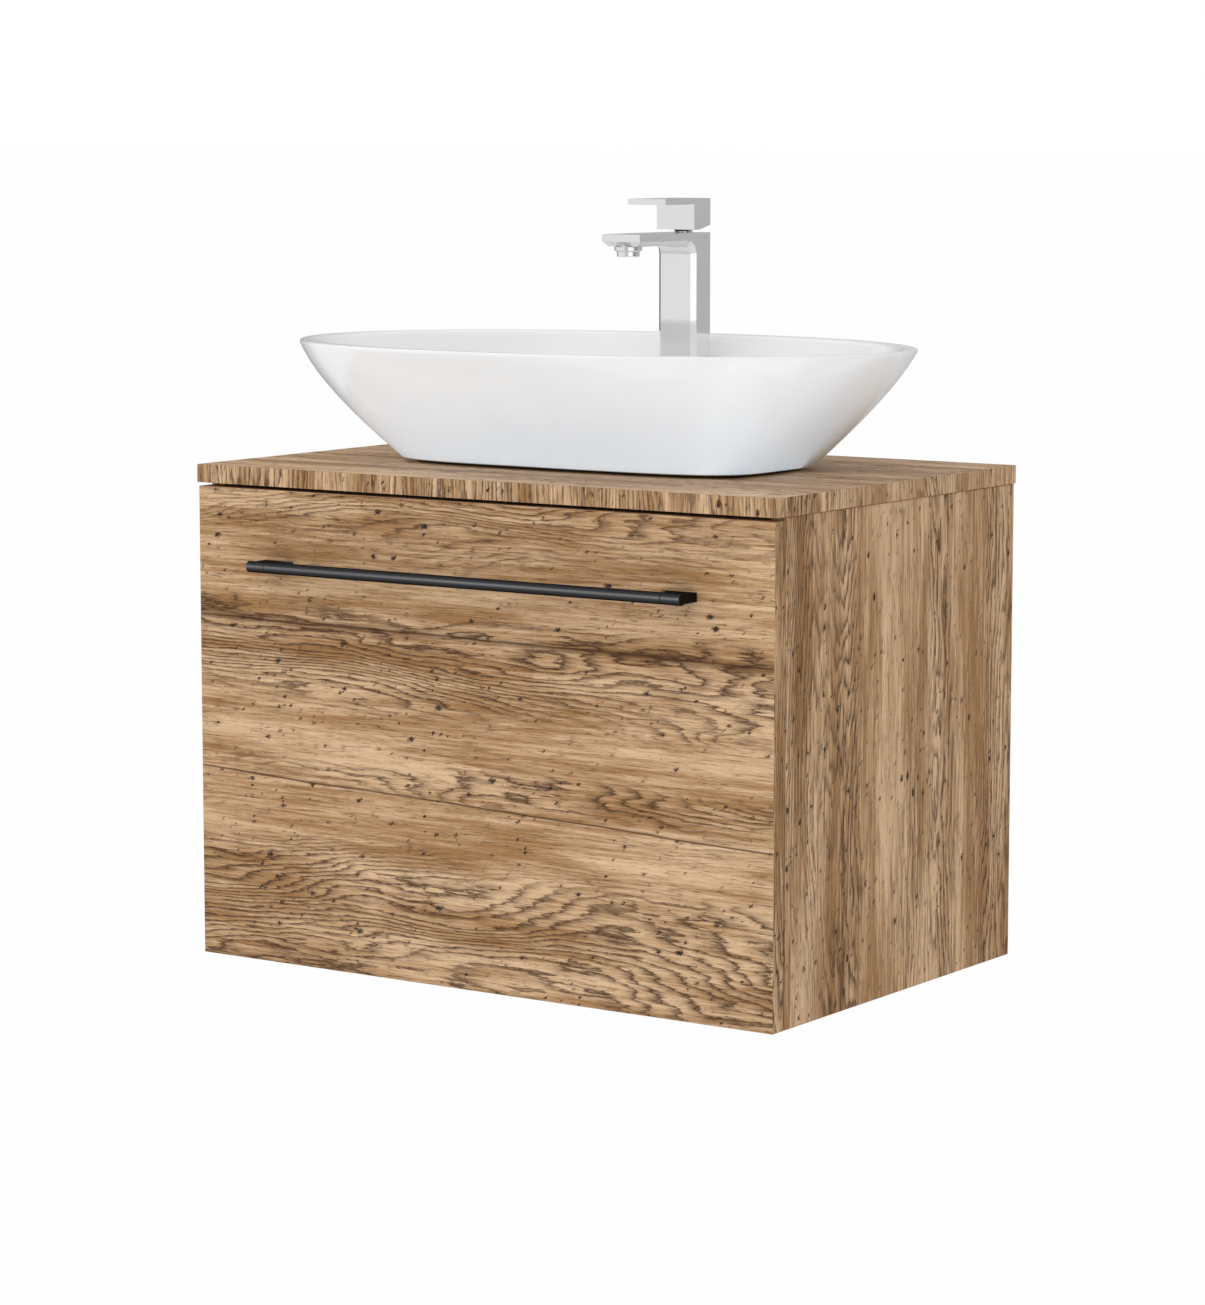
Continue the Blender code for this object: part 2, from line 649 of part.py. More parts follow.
def basin():
    """Ceramic bowl with a tap ledge inside the rim at the back."""
    outer = [
        wall_ring(0, BASE_EDGE), wall_ring(BASE_EDGE / 3, BASE_EDGE / 3), wall_ring(BASE_EDGE),
        *(wall_ring(BASIN_HEIGHT - drop, inset) for drop, inset in RIM_PROFILE),
    ]
    rise, narrower = LEDGE_ROUND
    ledge = [wall_ring(LEDGE_Z + rise, WALL - narrower), wall_ring(LEDGE_Z, WALL)]
    depth = LEDGE_Z - FLOOR_THICKNESS
    bowl = []
    for i in range(BOWL_STEPS + 1):
        t = 1 - i / BOWL_STEPS
        bowl.append(bowl_ring(FLOOR_THICKNESS + depth * t ** BOWL_CURVE, t))
    body = loft("basin", outer + ledge + bowl, "ceramic")
    low, high = TOP_Z - OVERRUN, TOP_Z + FLOOR_THICKNESS + OVERRUN
    combine(body, rod("drain_hole", DRAIN_RADIUS, (0, DRAIN_Y, low), (0, DRAIN_Y, high), None, 32))
    low, high = TOP_Z + LEDGE_Z - LEDGE_THICKNESS - OVERRUN, TOP_Z + LEDGE_Z + OVERRUN
    combine(body, rod("tap_hole", TAP_HOLE_RADIUS, (0, TAP_Y, low), (0, TAP_Y, high), None, 32))
    combine(body, ledge_cavity())


def ledge_cavity():
    """Hollow under the tap ledge, open below, where the tap is fastened and piped."""
    half = CAVITY_HALF
    levels = ((-OVERRUN, CAVITY_FOOT), (LEDGE_Z - LEDGE_THICKNESS, CAVITY_TOP))
    rings = []
    for height, (front, back) in levels:
        z = TOP_Z + height
        rings.append([(-half, front, z), (half, front, z), (half, back, z), (-half, back, z)])
    return loft("ledge_cavity", rings)


# ---------------------------------------------------------------- tap


def tap_body():
    """Column and spout in one casting, with bores for the cartridge, water and fixings."""
    low, high = TAP_BASE, TOP_Z + TAP_TOP
    under = high - SPOUT_DEPTH
    corner = (TAP_FRONT_Y - TAP_FILLET, under - TAP_FILLET)
    profile = [(TAP_BACK_Y, low), (TAP_BACK_Y, high), (SPOUT_TIP_Y, high), (SPOUT_TIP_Y, under)]
    profile += arc(corner, TAP_FILLET, 90, 0, 6)
    profile.append((TAP_FRONT_Y, low))
    body = outline("tap_body", profile, -TAP_WIDTH / 2, TAP_WIDTH / 2, "chrome", axes="YZ")
    chamfer_front_path(body.data, under)
    top = (0, TAP_Y, high + OVERRUN)
    floor = high - CARTRIDGE_DEPTH
    combine(body, rod("cartridge_bore", CARTRIDGE_RADIUS, (0, TAP_Y, floor), top))
    water_z = high - SPOUT_DEPTH / 2
    start = (0, AERATOR_Y, water_z)
    combine(body, rod("spout_channel", SPOUT_CHANNEL_RADIUS, start, (0, TAP_Y, water_z), None, 12))
    seat, seat_top = (0, AERATOR_Y, under - OVERRUN), (0, AERATOR_Y, under + AERATOR_SEAT)
    combine(body, rod("aerator_seat", AERATOR_RADIUS - AERATOR_SHOULDER, seat, seat_top))
    socket_top = low + FOOT_SOCKET_DEPTH
    for name, x in (("left", -PORT_X), ("right", PORT_X)):
        foot = (x, PORT_Y, low - OVERRUN)
        combine(body, rod("port_" + name, PORT_RADIUS, foot, (x, PORT_Y, socket_top), None, 16))
        feed_top = (x, PORT_Y, floor + OVERRUN)
        combine(body, rod("feed_" + name, FEED_RADIUS, foot, feed_top, None, 12))
    foot = (0, STUD_Y, low - OVERRUN)
    combine(body, rod("stud_socket", STUD_RADIUS + TOUCH, foot, (0, STUD_Y, socket_top)))


def chamfer_front_path(mesh, under):
    """Chamfer the edges up the column's front, round the inner corner and under the spout."""
    bm = bmesh.new()
    bm.from_mesh(mesh)
    chosen = []
    for edge in bm.edges:
        ends = [vert.co for vert in edge.verts]
        same_side = abs(ends[0].x - ends[1].x) < TOUCH
        in_front = all(co.y <= TAP_FRONT_Y + TOUCH and co.z <= under + TOUCH for co in ends)
        crosses_tip = not same_side and all(
            abs(co.y - SPOUT_TIP_Y) < TOUCH and abs(co.z - under) < TOUCH for co in ends
        )
        level_base = all(abs(co.z - TAP_BASE) < TOUCH for co in ends)
        if (in_front and same_side and not level_base) or crosses_tip:
            chosen.append(edge)
    bmesh.ops.bevel(
        bm, geom=chosen, offset=TAP_CHAMFER, offset_type="OFFSET", segments=1,
        profile=0.5, affect="EDGES", clamp_overlap=False,
    )
    bm.to_mesh(mesh)
    bm.free()


def tap_base():
    """Plate and rubber gasket between the column and the ledge, pierced for the fixings."""
    width, depth, height = TAP_PLATE
    ledge = TOP_Z + TOUCH + LEDGE_Z
    gasket_top = ledge + TOUCH + GASKET
    for name, low, high, inset, finish in (
        ("tap_gasket", ledge + TOUCH, gasket_top, GASKET_INSET, "rubber"),
        ("tap_base_plate", gasket_top + TOUCH / 2, TAP_BASE - TOUCH / 2, 0.0, "chrome"),
    ):
        half = (width / 2 - inset, depth / 2 - inset)
        corner_low = (-half[0], TAP_Y - half[1], low)
        plate = box(name, corner_low, (half[0], TAP_Y + half[1], high), finish)
        for hole, x, y, radius in (
            ("left", -PORT_X, PORT_Y, PORT_CLEAR_RADIUS),
            ("right", PORT_X, PORT_Y, PORT_CLEAR_RADIUS),
            ("stud", 0, STUD_Y, STUD_RADIUS + TOUCH),
        ):
            start, end = (x, y, low - OVERRUN), (x, y, high + OVERRUN)
            combine(plate, rod(f"{name}_{hole}", radius, start, end, None, 16))


def tap_fixings():
    """Threaded stud, horseshoe washer and nut that clamp the tap to the ledge."""
    under = TOP_Z + TOUCH + LEDGE_Z - LEDGE_THICKNESS - TOUCH
    washer_low = under - WASHER_THICKNESS
    start = (0, STUD_Y, under - STUD_BELOW)
    rod("tap_stud", STUD_RADIUS, start, (0, STUD_Y, TAP_BASE + STUD_ABOVE), "zinc", 16)
    mouth = math.degrees(math.asin(WASHER_SLOT / WASHER_RADIUS))
    points = arc((0, WASHER_Y), WASHER_RADIUS, -90 + mouth, 270 - mouth, 24)
    points += arc((0, WASHER_Y - WASHER_SLOT_AHEAD), WASHER_SLOT, 180, 0, 10)
    washer = outline("tap_horseshoe_washer", points, washer_low, under, "zinc")
    low, high = (0, STUD_Y, washer_low - OVERRUN), (0, STUD_Y, under + OVERRUN)
    combine(washer, rod("washer_hole", STUD_RADIUS + TOUCH, low, high, None, 16))
    nut_high = washer_low - TOUCH
    nut_low = nut_high - NUT_HEIGHT
    hexagon = arc((0, STUD_Y), NUT_RADIUS, 0, 300, 5)
    nut = outline("tap_nut", hexagon, nut_low, nut_high, "brass")
    low, high = (0, STUD_Y, nut_low - OVERRUN), (0, STUD_Y, nut_high + OVERRUN)
    combine(nut, rod("nut_hole", STUD_RADIUS + TOUCH, low, high, None, 16))


def cartridge():
    """Mixing cartridge in the column's bore and the ring that holds it down."""
    high = TOP_Z + TAP_TOP
    radius = CARTRIDGE_RADIUS - TOUCH
    ring_low = high - CARTRIDGE_NUT
    bottom, top = (0, TAP_Y, high - CARTRIDGE_DEPTH + TOUCH), (0, TAP_Y, ring_low - TOUCH)
    body = rod("tap_cartridge", radius, bottom, top, "plastic")
    seat = (0, TAP_Y, top[2] - POST_DEPTH)
    combine(body, rod("cartridge_seat", POST_RADIUS + TOUCH, seat, (0, TAP_Y, high)))
    ring = ring_profile(POST_RADIUS + 2 * TOUCH, radius, ring_low, high - TOUCH)
    turned("tap_cartridge_nut", ring, (0, TAP_Y, 0), "chrome")


def sphere_points(radius, low, high, steps):
    """Profile points down the outside of a ball about its centre, between two heights."""
    start, end = math.asin(high / radius), math.asin(low / radius)
    angles = [start + (end - start) * i / steps for i in range(steps + 1)]
    return [(radius * math.cos(a), radius * math.sin(a)) for a in angles]


def lever_parts():
    """Dome that swivels on the cartridge, and the lever that tilts about the dome's centre."""
    pivot = (0, TAP_Y, PIVOT_Z)
    flat = PIVOT_RISE - TOUCH
    post_end = -PIVOT_RISE - CARTRIDGE_NUT - POST_DEPTH + TOUCH
    profile = sphere_points(DOME_RADIUS, -flat, DOME_RADIUS, 10)
    profile[0] = (0, DOME_RADIUS)
    profile += [(POST_RADIUS, -flat), (POST_RADIUS, post_end), (0, post_end)]
    dome = turned("tap_dome", profile, pivot, "chrome")
    side, ahead = STEM_HALF + SLOT_SIDE_PLAY, STEM_HALF + SLOT_FRONT_PLAY
    low = (-side, TAP_Y - ahead, PIVOT_Z - SLOT_BELOW)
    combine(dome, box("dome_slot", low, (side, TAP_Y + SLOT_BACK, PIVOT_Z + 2 * DOME_RADIUS)))
    stem_low, stem_high = PIVOT_Z - STEM_BELOW, PIVOT_Z + STEM_ABOVE
    low = (-STEM_HALF, TAP_Y - STEM_HALF, stem_low)
    box("lever_stem", low, (STEM_HALF, TAP_Y + STEM_HALF, stem_high), "zinc")

    bottom, top = TOP_Z + LEVER_BOTTOM, TOP_Z + LEVER_TOP
    slab = TOP_Z + LEVER_SLAB_BOTTOM
    profile = [
        (TAP_BACK_Y, top), (LEVER_TIP_Y, top), (LEVER_TIP_Y, slab), (TAP_FRONT_Y, slab),
        (TAP_FRONT_Y, bottom), (TAP_FRONT_Y + LEVER_NOSE, bottom),
        (TAP_BACK_Y, TOP_Z + LEVER_BACK_BOTTOM),
    ]
    lever = outline("tap_lever", profile, -TAP_WIDTH / 2, TAP_WIDTH / 2, "chrome", axes="YZ")
    socket_radius = DOME_RADIUS + HOLLOW_GAP
    hollow = turned("lever_hollow", [
        (0, socket_radius), *sphere_points(socket_radius, -HOLLOW_BELOW, socket_radius, 12)[1:],
        (0, -HOLLOW_BELOW),
    ], pivot, segments=32)
    combine(lever, hollow)
    half = STEM_HALF + TOUCH
    low = (-half, TAP_Y - half, PIVOT_Z)
    combine(lever, box("lever_socket", low, (half, TAP_Y + half, stem_high + TOUCH)))
    screw_z = PIVOT_Z + SET_SCREW_RISE
    start = (0, TAP_Y + STEM_HALF, screw_z)
    hole_radius = SET_SCREW_RADIUS + TOUCH
    combine(lever, rod("lever_screw_hole", hole_radius, start, (0, 0, screw_z), None, 16))
    start, end = (0, TAP_Y + STEM_HALF + TOUCH, screw_z), (0, TAP_BACK_Y - SET_SCREW_INSET, screw_z)
    rod("lever_set_screw", SET_SCREW_RADIUS, start, end, "zinc", 16)


def aerator():
    """Threaded housing in the spout and the insert that breaks the stream."""
    under = TOP_Z + TAP_TOP - SPOUT_DEPTH
    place = (0, AERATOR_Y, under)
    neck = AERATOR_RADIUS - AERATOR_SHOULDER - TOUCH
    bore = neck - AERATOR_WALL
    flange = AERATOR_RADIUS + AERATOR_FLANGE
    flange_low, waist, chamfer = AERATOR_STEPS
    profile = [
        (neck, AERATOR_THREAD), (neck, -TOUCH), (flange, -TOUCH), (flange, -flange_low),
        (AERATOR_RADIUS, -waist), (AERATOR_RADIUS, -chamfer),
        (AERATOR_RADIUS - 2 * TOUCH, -AERATOR_LENGTH), (bore, -AERATOR_LENGTH),
        (bore, AERATOR_THREAD),
    ]
    turned("aerator_housing", profile, place, "chrome")
    low, high = (under + level for level in AERATOR_INSERT)
    insert = rod("aerator_insert", bore - TOUCH, (0, AERATOR_Y, low), (0, AERATOR_Y, high), "grey")
    for i in range(JET_COUNT):
        angle = 2 * math.pi * i / JET_COUNT
        x, y = JET_CIRCLE * math.cos(angle), AERATOR_Y + JET_CIRCLE * math.sin(angle)
        start, end = (x, y, low - OVERRUN), (x, y, high + OVERRUN)
        combine(insert, rod(f"aerator_jet_{i}", JET_RADIUS, start, end, None, 8))


# ---------------------------------------------------------------- waste and trap


def waste():
    """Push-button waste through the basin's floor and the worktop, with its seals and nut."""
    floor = TOP_Z + TOUCH + FLOOR_THICKNESS
    under = TOP_Z - BOARD
    place = (0, DRAIN_Y, 0)
    flange, bore = WASTE_RADIUS + WASTE_FLANGE, WASTE_RADIUS - WASTE_WALL
    seal = floor + TOUCH + UPPER_SEAL
    ring = ring_profile(DRAIN_RADIUS + TOUCH, flange - SEAL_MARGIN, floor + TOUCH, seal)
    turned("waste_seal_upper", ring, place, "rubber")
    top, nut_low = seal + TOUCH + WASTE_LIP, under - WASTE_NUT_DROP
    tail_bore = TAIL_RADIUS - PIPE_WALL
    profile = [
        (flange - FLANGE_ROUND[0], top), (flange, top - FLANGE_ROUND[1]), (flange, seal + TOUCH),
        (WASTE_RADIUS, seal + TOUCH), (WASTE_RADIUS, nut_low - WASTE_CONE[0]),
        (TAIL_RADIUS, nut_low - WASTE_CONE[1]), (TAIL_RADIUS, nut_low - WASTE_TAIL),
        (tail_bore, nut_low - WASTE_TAIL), (tail_bore, nut_low - WASTE_INNER_CONE[1]),
        (bore, nut_low - WASTE_INNER_CONE[0]), (bore, top),
    ]
    turned("waste_body", profile, place, "chrome")
    inner, seal_low = WASTE_RADIUS + TOUCH, under - LOWER_SEAL
    ring = ring_profile(inner, inner + LOWER_SEAL_WIDTH, seal_low, under - TOUCH)
    turned("waste_seal_lower", ring, place, "rubber")
    octagon = arc((0, DRAIN_Y), inner + WASTE_NUT_MARGIN, 0, 315, 7)
    nut = outline("waste_nut", octagon, nut_low, seal_low - TOUCH, "brass")
    combine(nut, rod("waste_nut_hole", inner, (0, DRAIN_Y, nut_low - OVERRUN), (0, DRAIN_Y, TOP_Z)))
    click(top, bore - TOUCH)
    plug(top + TOUCH, flange - SEAL_MARGIN, top - CLICK_DROP - CLICK_RISE - BAR_WIDTH)


def click(top, reach):
    """Click mechanism on a bar across the waste's bore, reaching down from its top."""
    high = top - CLICK_DROP
    middle = high - CLICK_RISE
    start, end = (0, DRAIN_Y, middle - CLICK_FOOT), (0, DRAIN_Y, high)
    body = rod("waste_click", CLICK_RADIUS, start, end, "plastic")
    half = BAR_WIDTH / 2
    low = (-reach, DRAIN_Y - half, middle - BAR_WIDTH)
    combine(body, box("waste_bar", low, (reach, DRAIN_Y + half, middle)), "UNION")
    start, end = (0, DRAIN_Y, middle - CLICK_SEAT), (0, DRAIN_Y, high + OVERRUN)
    combine(body, rod("click_bore", CLICK_BORE_RADIUS, start, end, None, 16))


def plug(base, cap, stem_low):
    """Domed plug over the flange, with the stem that presses the click mechanism."""
    profile = [(cap * share, base + rise) for share, rise in PLUG_TOP]
    profile += [
        (cap - PLUG_LIP, base + PLUG_EDGE[0]), (cap, base + PLUG_EDGE[1]), (cap - PLUG_LIP, base),
        (PLUG_STEM_RADIUS, base), (PLUG_STEM_RADIUS, stem_low), (0, stem_low),
    ]
    turned("waste_plug", profile, (0, DRAIN_Y, 0), "chrome")


def trap():
    """Bottle trap: nut, head with its side outlet, cup and dip tube, then the pipe to the wall."""
    place = (0, DRAIN_Y, OUTLET_Z)
    tail = TAIL_RADIUS + TOUCH
    throat, collar = tail + THROAT_PLAY, TRAP_COLLAR_RADIUS
    turned("trap_inlet_nut", ring_profile(tail, *INLET_NUT), place, "chrome")
    profile = [
        (collar, TRAP_HEAD_TOP), (collar, TRAP_SHOULDER[0]), (TRAP_RADIUS, TRAP_SHOULDER[1]),
        (TRAP_RADIUS, TRAP_HEAD_LOW), (TRAP_RADIUS - TRAP_SHELL, TRAP_HEAD_LOW),
        (TRAP_RADIUS - TRAP_SHELL, TRAP_INNER_SHOULDER[1]), (throat, TRAP_INNER_SHOULDER[0]),
        (throat, TRAP_HEAD_TOP),
    ]
    head = turned("trap_head", profile, place, "chrome")
    stub_end = DRAIN_Y + STUB_END
    start = (0, DRAIN_Y + STUB_START, OUTLET_Z)
    combine(head, rod("trap_stub", collar, start, (0, stub_end, OUTLET_Z)), "UNION")
    start = (0, DRAIN_Y + STUB_BORE_START, OUTLET_Z)
    bore = PIPE_RADIUS + TOUCH
    combine(head, rod("trap_stub_bore", bore, start, (0, stub_end + OVERRUN, OUTLET_Z)))
    trap_cup(place)
    turned("trap_dip_tube", ring_profile(*DIP_TUBE), place, "plastic")
    nut_place = (0, stub_end, OUTLET_Z)
    ring = ring_profile(bore, OUTLET_NUT_RADIUS, TOUCH, OUTLET_NUT_LENGTH)
    turned("trap_outlet_nut", ring, nut_place, "chrome", (0, 1, 0))
    ring = ring_profile(PIPE_RADIUS - PIPE_WALL, PIPE_RADIUS, -OUTLET_NUT_LENGTH, -stub_end - TOUCH)
    turned("trap_outlet_pipe", ring, nut_place, "chrome", (0, 1, 0))
    middle, slope_end, edge = ROSETTE_LEVELS
    profile = [
        (bore + ROSETTE_SLOPE, middle), (ROSETTE_RADIUS - ROSETTE_SLOPE, slope_end),
        (ROSETTE_RADIUS, edge), (ROSETTE_RADIUS, TOUCH), (bore, TOUCH), (bore, middle),
    ]
    turned("wall_rosette", profile, (0, 0, OUTLET_Z), "chrome", (0, -1, 0))


def trap_cup(place):
    """Cup around the head's skirt, notched for the side outlet."""
    inner = TRAP_RADIUS + TOUCH
    outer = inner + TRAP_SHELL
    floor = CUP_LOW + TRAP_SHELL
    profile = [
        (outer, CUP_TOP), (outer, CUP_LOW + CUP_CORNER), (outer - CUP_CORNER, CUP_LOW), (0, CUP_LOW),
        (0, floor), (inner - CUP_CORNER, floor), (inner, CUP_LOW + CUP_INNER_CORNER),
        (inner, CUP_TOP),
    ]
    cup = turned("trap_cup", profile, place, "chrome")
    half = TRAP_COLLAR_RADIUS + CUP_NOTCH_MARGIN
    low = (-half, DRAIN_Y, OUTLET_Z - CUP_NOTCH)
    combine(cup, box("cup_notch", low, (half, DRAIN_Y + 2 * TRAP_RADIUS, OUTLET_Z)))


def main():
    clear_scene()
    finishes.update(make_materials())
    for build in (
        worktop, side_panels, inner_boards, hangers, drawer_front, drawer_box, drawer_recess,
        runners, handle, basin, tap_body, tap_base, tap_fixings, cartridge, lever_parts,
        aerator, waste, trap,
    ):
        build()


groups = {}
finishes = {}
main()
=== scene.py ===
"""Looks for a wall-hung vanity with a vessel basin and a square lever tap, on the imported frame.

Metres, +Z up, the front faces -Y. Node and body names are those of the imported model.
"""
import json
import math

import bmesh
import bpy
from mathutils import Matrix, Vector

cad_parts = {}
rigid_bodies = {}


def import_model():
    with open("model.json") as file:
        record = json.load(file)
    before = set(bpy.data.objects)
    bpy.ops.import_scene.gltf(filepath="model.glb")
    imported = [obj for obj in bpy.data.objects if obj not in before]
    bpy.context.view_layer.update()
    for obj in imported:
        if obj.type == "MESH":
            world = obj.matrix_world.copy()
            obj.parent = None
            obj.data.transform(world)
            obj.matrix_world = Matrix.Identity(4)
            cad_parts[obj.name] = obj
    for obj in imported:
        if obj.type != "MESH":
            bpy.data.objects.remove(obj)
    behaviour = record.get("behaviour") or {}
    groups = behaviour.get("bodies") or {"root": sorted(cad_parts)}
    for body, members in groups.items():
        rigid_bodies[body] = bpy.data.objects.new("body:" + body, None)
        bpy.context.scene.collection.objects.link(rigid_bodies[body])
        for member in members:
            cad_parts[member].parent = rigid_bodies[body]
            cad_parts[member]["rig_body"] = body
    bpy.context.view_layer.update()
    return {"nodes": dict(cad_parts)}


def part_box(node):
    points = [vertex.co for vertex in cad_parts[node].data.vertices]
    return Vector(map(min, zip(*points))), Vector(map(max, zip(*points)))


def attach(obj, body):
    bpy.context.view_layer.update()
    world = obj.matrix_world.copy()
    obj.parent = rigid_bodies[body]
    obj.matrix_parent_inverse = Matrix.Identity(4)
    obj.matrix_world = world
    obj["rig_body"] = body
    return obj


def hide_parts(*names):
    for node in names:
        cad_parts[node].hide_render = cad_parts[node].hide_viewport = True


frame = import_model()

SCENE = bpy.context.scene
TOUCH = 0.0003

# Levels the looks refer to: the worktop's face, and the basin's base and foot over it.
TOP_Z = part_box("worktop")[1].z
BASIN_Z = TOP_Z + TOUCH
FOOT_HEIGHT = 0.0026

# Camera of the main view.
CAMERA_PLACE = (2.0043, -3.1314, 0.3569)
CAMERA_YAW = 34.3817
CAMERA_PITCH = 7.3232
CAMERA_LENS = 112.15
SENSOR = 36.0


# ---------------------------------------------------------------- shader tools


class Graph:
    """Short calls that add linked nodes to a node tree."""

    def __init__(self, tree):
        self.tree = tree

    def node(self, kind, **settings):
        made = self.tree.nodes.new(kind)
        for key, value in settings.items():
            setattr(made, key, value)
        return made

    def feed(self, socket, value):
        if isinstance(value, bpy.types.NodeSocket):
            self.tree.links.new(value, socket)
        elif isinstance(value, (tuple, list, Vector)) and len(socket.default_value) == 4:
            socket.default_value = (*value[:3], 1.0)
        else:
            socket.default_value = value

    def math(self, operation, first, second=0.0, third=0.0, clamp=False):
        made = self.node("ShaderNodeMath", operation=operation, use_clamp=clamp)
        for socket, value in zip(made.inputs, (first, second, third)):
            self.feed(socket, value)
        return made.outputs[0]

    def vector(self, operation, first, second=(0.0, 0.0, 0.0)):
        made = self.node("ShaderNodeVectorMath", operation=operation)
        self.feed(made.inputs[0], first)
        self.feed(made.inputs[1], second)
        return made.outputs["Value" if operation == "DOT_PRODUCT" else "Vector"]

    def combine(self, x=0.0, y=0.0, z=0.0):
        made = self.node("ShaderNodeCombineXYZ")
        for socket, value in zip(made.inputs, (x, y, z)):
            self.feed(socket, value)
        return made.outputs[0]

    def split(self, vector):
        made = self.node("ShaderNodeSeparateXYZ")
        self.feed(made.inputs[0], vector)
        return made.outputs

    def noise(self, vector, stretch=(1.0, 1.0, 1.0), detail=2.0, roughness=0.5, distortion=0.0):
        made = self.node("ShaderNodeTexNoise")
        self.feed(made.inputs["Vector"], self.vector("MULTIPLY", vector, stretch))
        made.inputs["Scale"].default_value = 1.0
        made.inputs["Detail"].default_value = detail
        made.inputs["Roughness"].default_value = roughness
        made.inputs["Distortion"].default_value = distortion
        return made.outputs["Fac"]

    def cells(self, vector, stretch):
        made = self.node("ShaderNodeTexVoronoi")
        self.feed(made.inputs["Vector"], self.vector("MULTIPLY", vector, stretch))
        made.inputs["Scale"].default_value = 1.0
        return made.outputs["Distance"], self.split(made.outputs["Color"])

    def ramp(self, value, stops):
        """Map a value through (position, level) stops, given in order."""
        made = self.node("ShaderNodeValToRGB")
        elements = made.color_ramp.elements
        elements.remove(elements[1])
        elements[0].position = stops[0][0]
        for place, level in stops[1:]:
            elements.new(place)
        for element, (place, level) in zip(elements, stops):
            element.color = (level, level, level, 1.0)
        self.feed(made.inputs[0], value)
        return made.outputs[0]

    def step(self, value, low, high, start=0.0, end=1.0):
        """Smooth step from start to end while value goes from low to high."""
        made = self.node("ShaderNodeMapRange", interpolation_type="SMOOTHSTEP")
        for socket, number in zip(made.inputs, (value, low, high, start, end)):
            self.feed(socket, number)
        return made.outputs[0]

    def mix(self, factor, first, second, blend="MIX"):
        made = self.node("ShaderNodeMix", data_type="RGBA", blend_type=blend)
        self.feed(made.inputs[0], factor)
        self.feed(made.inputs[6], first)
        self.feed(made.inputs[7], second)
        return made.outputs[2]

    def bump(self, height, distance, strength=1.0):
        made = self.node("ShaderNodeBump")
        made.inputs["Distance"].default_value = distance
        made.inputs["Strength"].default_value = strength
        self.feed(made.inputs["Height"], height)
        return made.outputs[0]


def new_material(name, **settings):
    """A Principled material, its graph, its shader and its object coordinates."""
    material = bpy.data.materials.new(name)
    material.use_nodes = True
    shader = material.node_tree.nodes["Principled BSDF"]
    for key, value in settings.items():
        socket = shader.inputs[key.replace("_", " ")]
        if isinstance(value, tuple):
            value = (*value, 1.0)
        socket.default_value = value
    graph = Graph(material.node_tree)
    place = graph.node("ShaderNodeTexCoord").outputs["Object"]
    return material, graph, shader, place


# ---------------------------------------------------------------- wood decor

WOOD_LIGHT = (0.75, 0.508, 0.305)
WOOD_MIDDLE = (0.345, 0.175, 0.062)
WOOD_DARK = (0.055, 0.017, 0.002)
WOOD_HOLE = (0.020, 0.009, 0.004)

# Growth rings per metre across the grain, and how far three sizes of wave bend them.
RINGS_ACROSS = 125.0
RING_BROAD, RING_MIDDLE, RING_JAGGED = 30.0, 5.5, 1.25
# Late wood is the dark end of each ring: (share of a ring, darkness).
RING_SHADE = [(0.0, 0.15), (0.08, 0.0), (0.40, 0.04), (0.70, 0.45), (0.88, 1.0), (1.0, 0.25)]
# Worm holes, large then small: cells per metre, offset, least radius and its spread in cells,
# and how much chance and cluster must add up to.
WORM_HOLES = (
    ((58.0, 104.0, 60.0), 0.0, 0.05, 0.17, 1.02),
    ((112.0, 190.0, 90.0), 3.3, 0.08, 0.15, 1.10),
)
HOLE_SHAKE = 0.0080
KNOT_CELLS = (13.0, 24.0, 20.0)


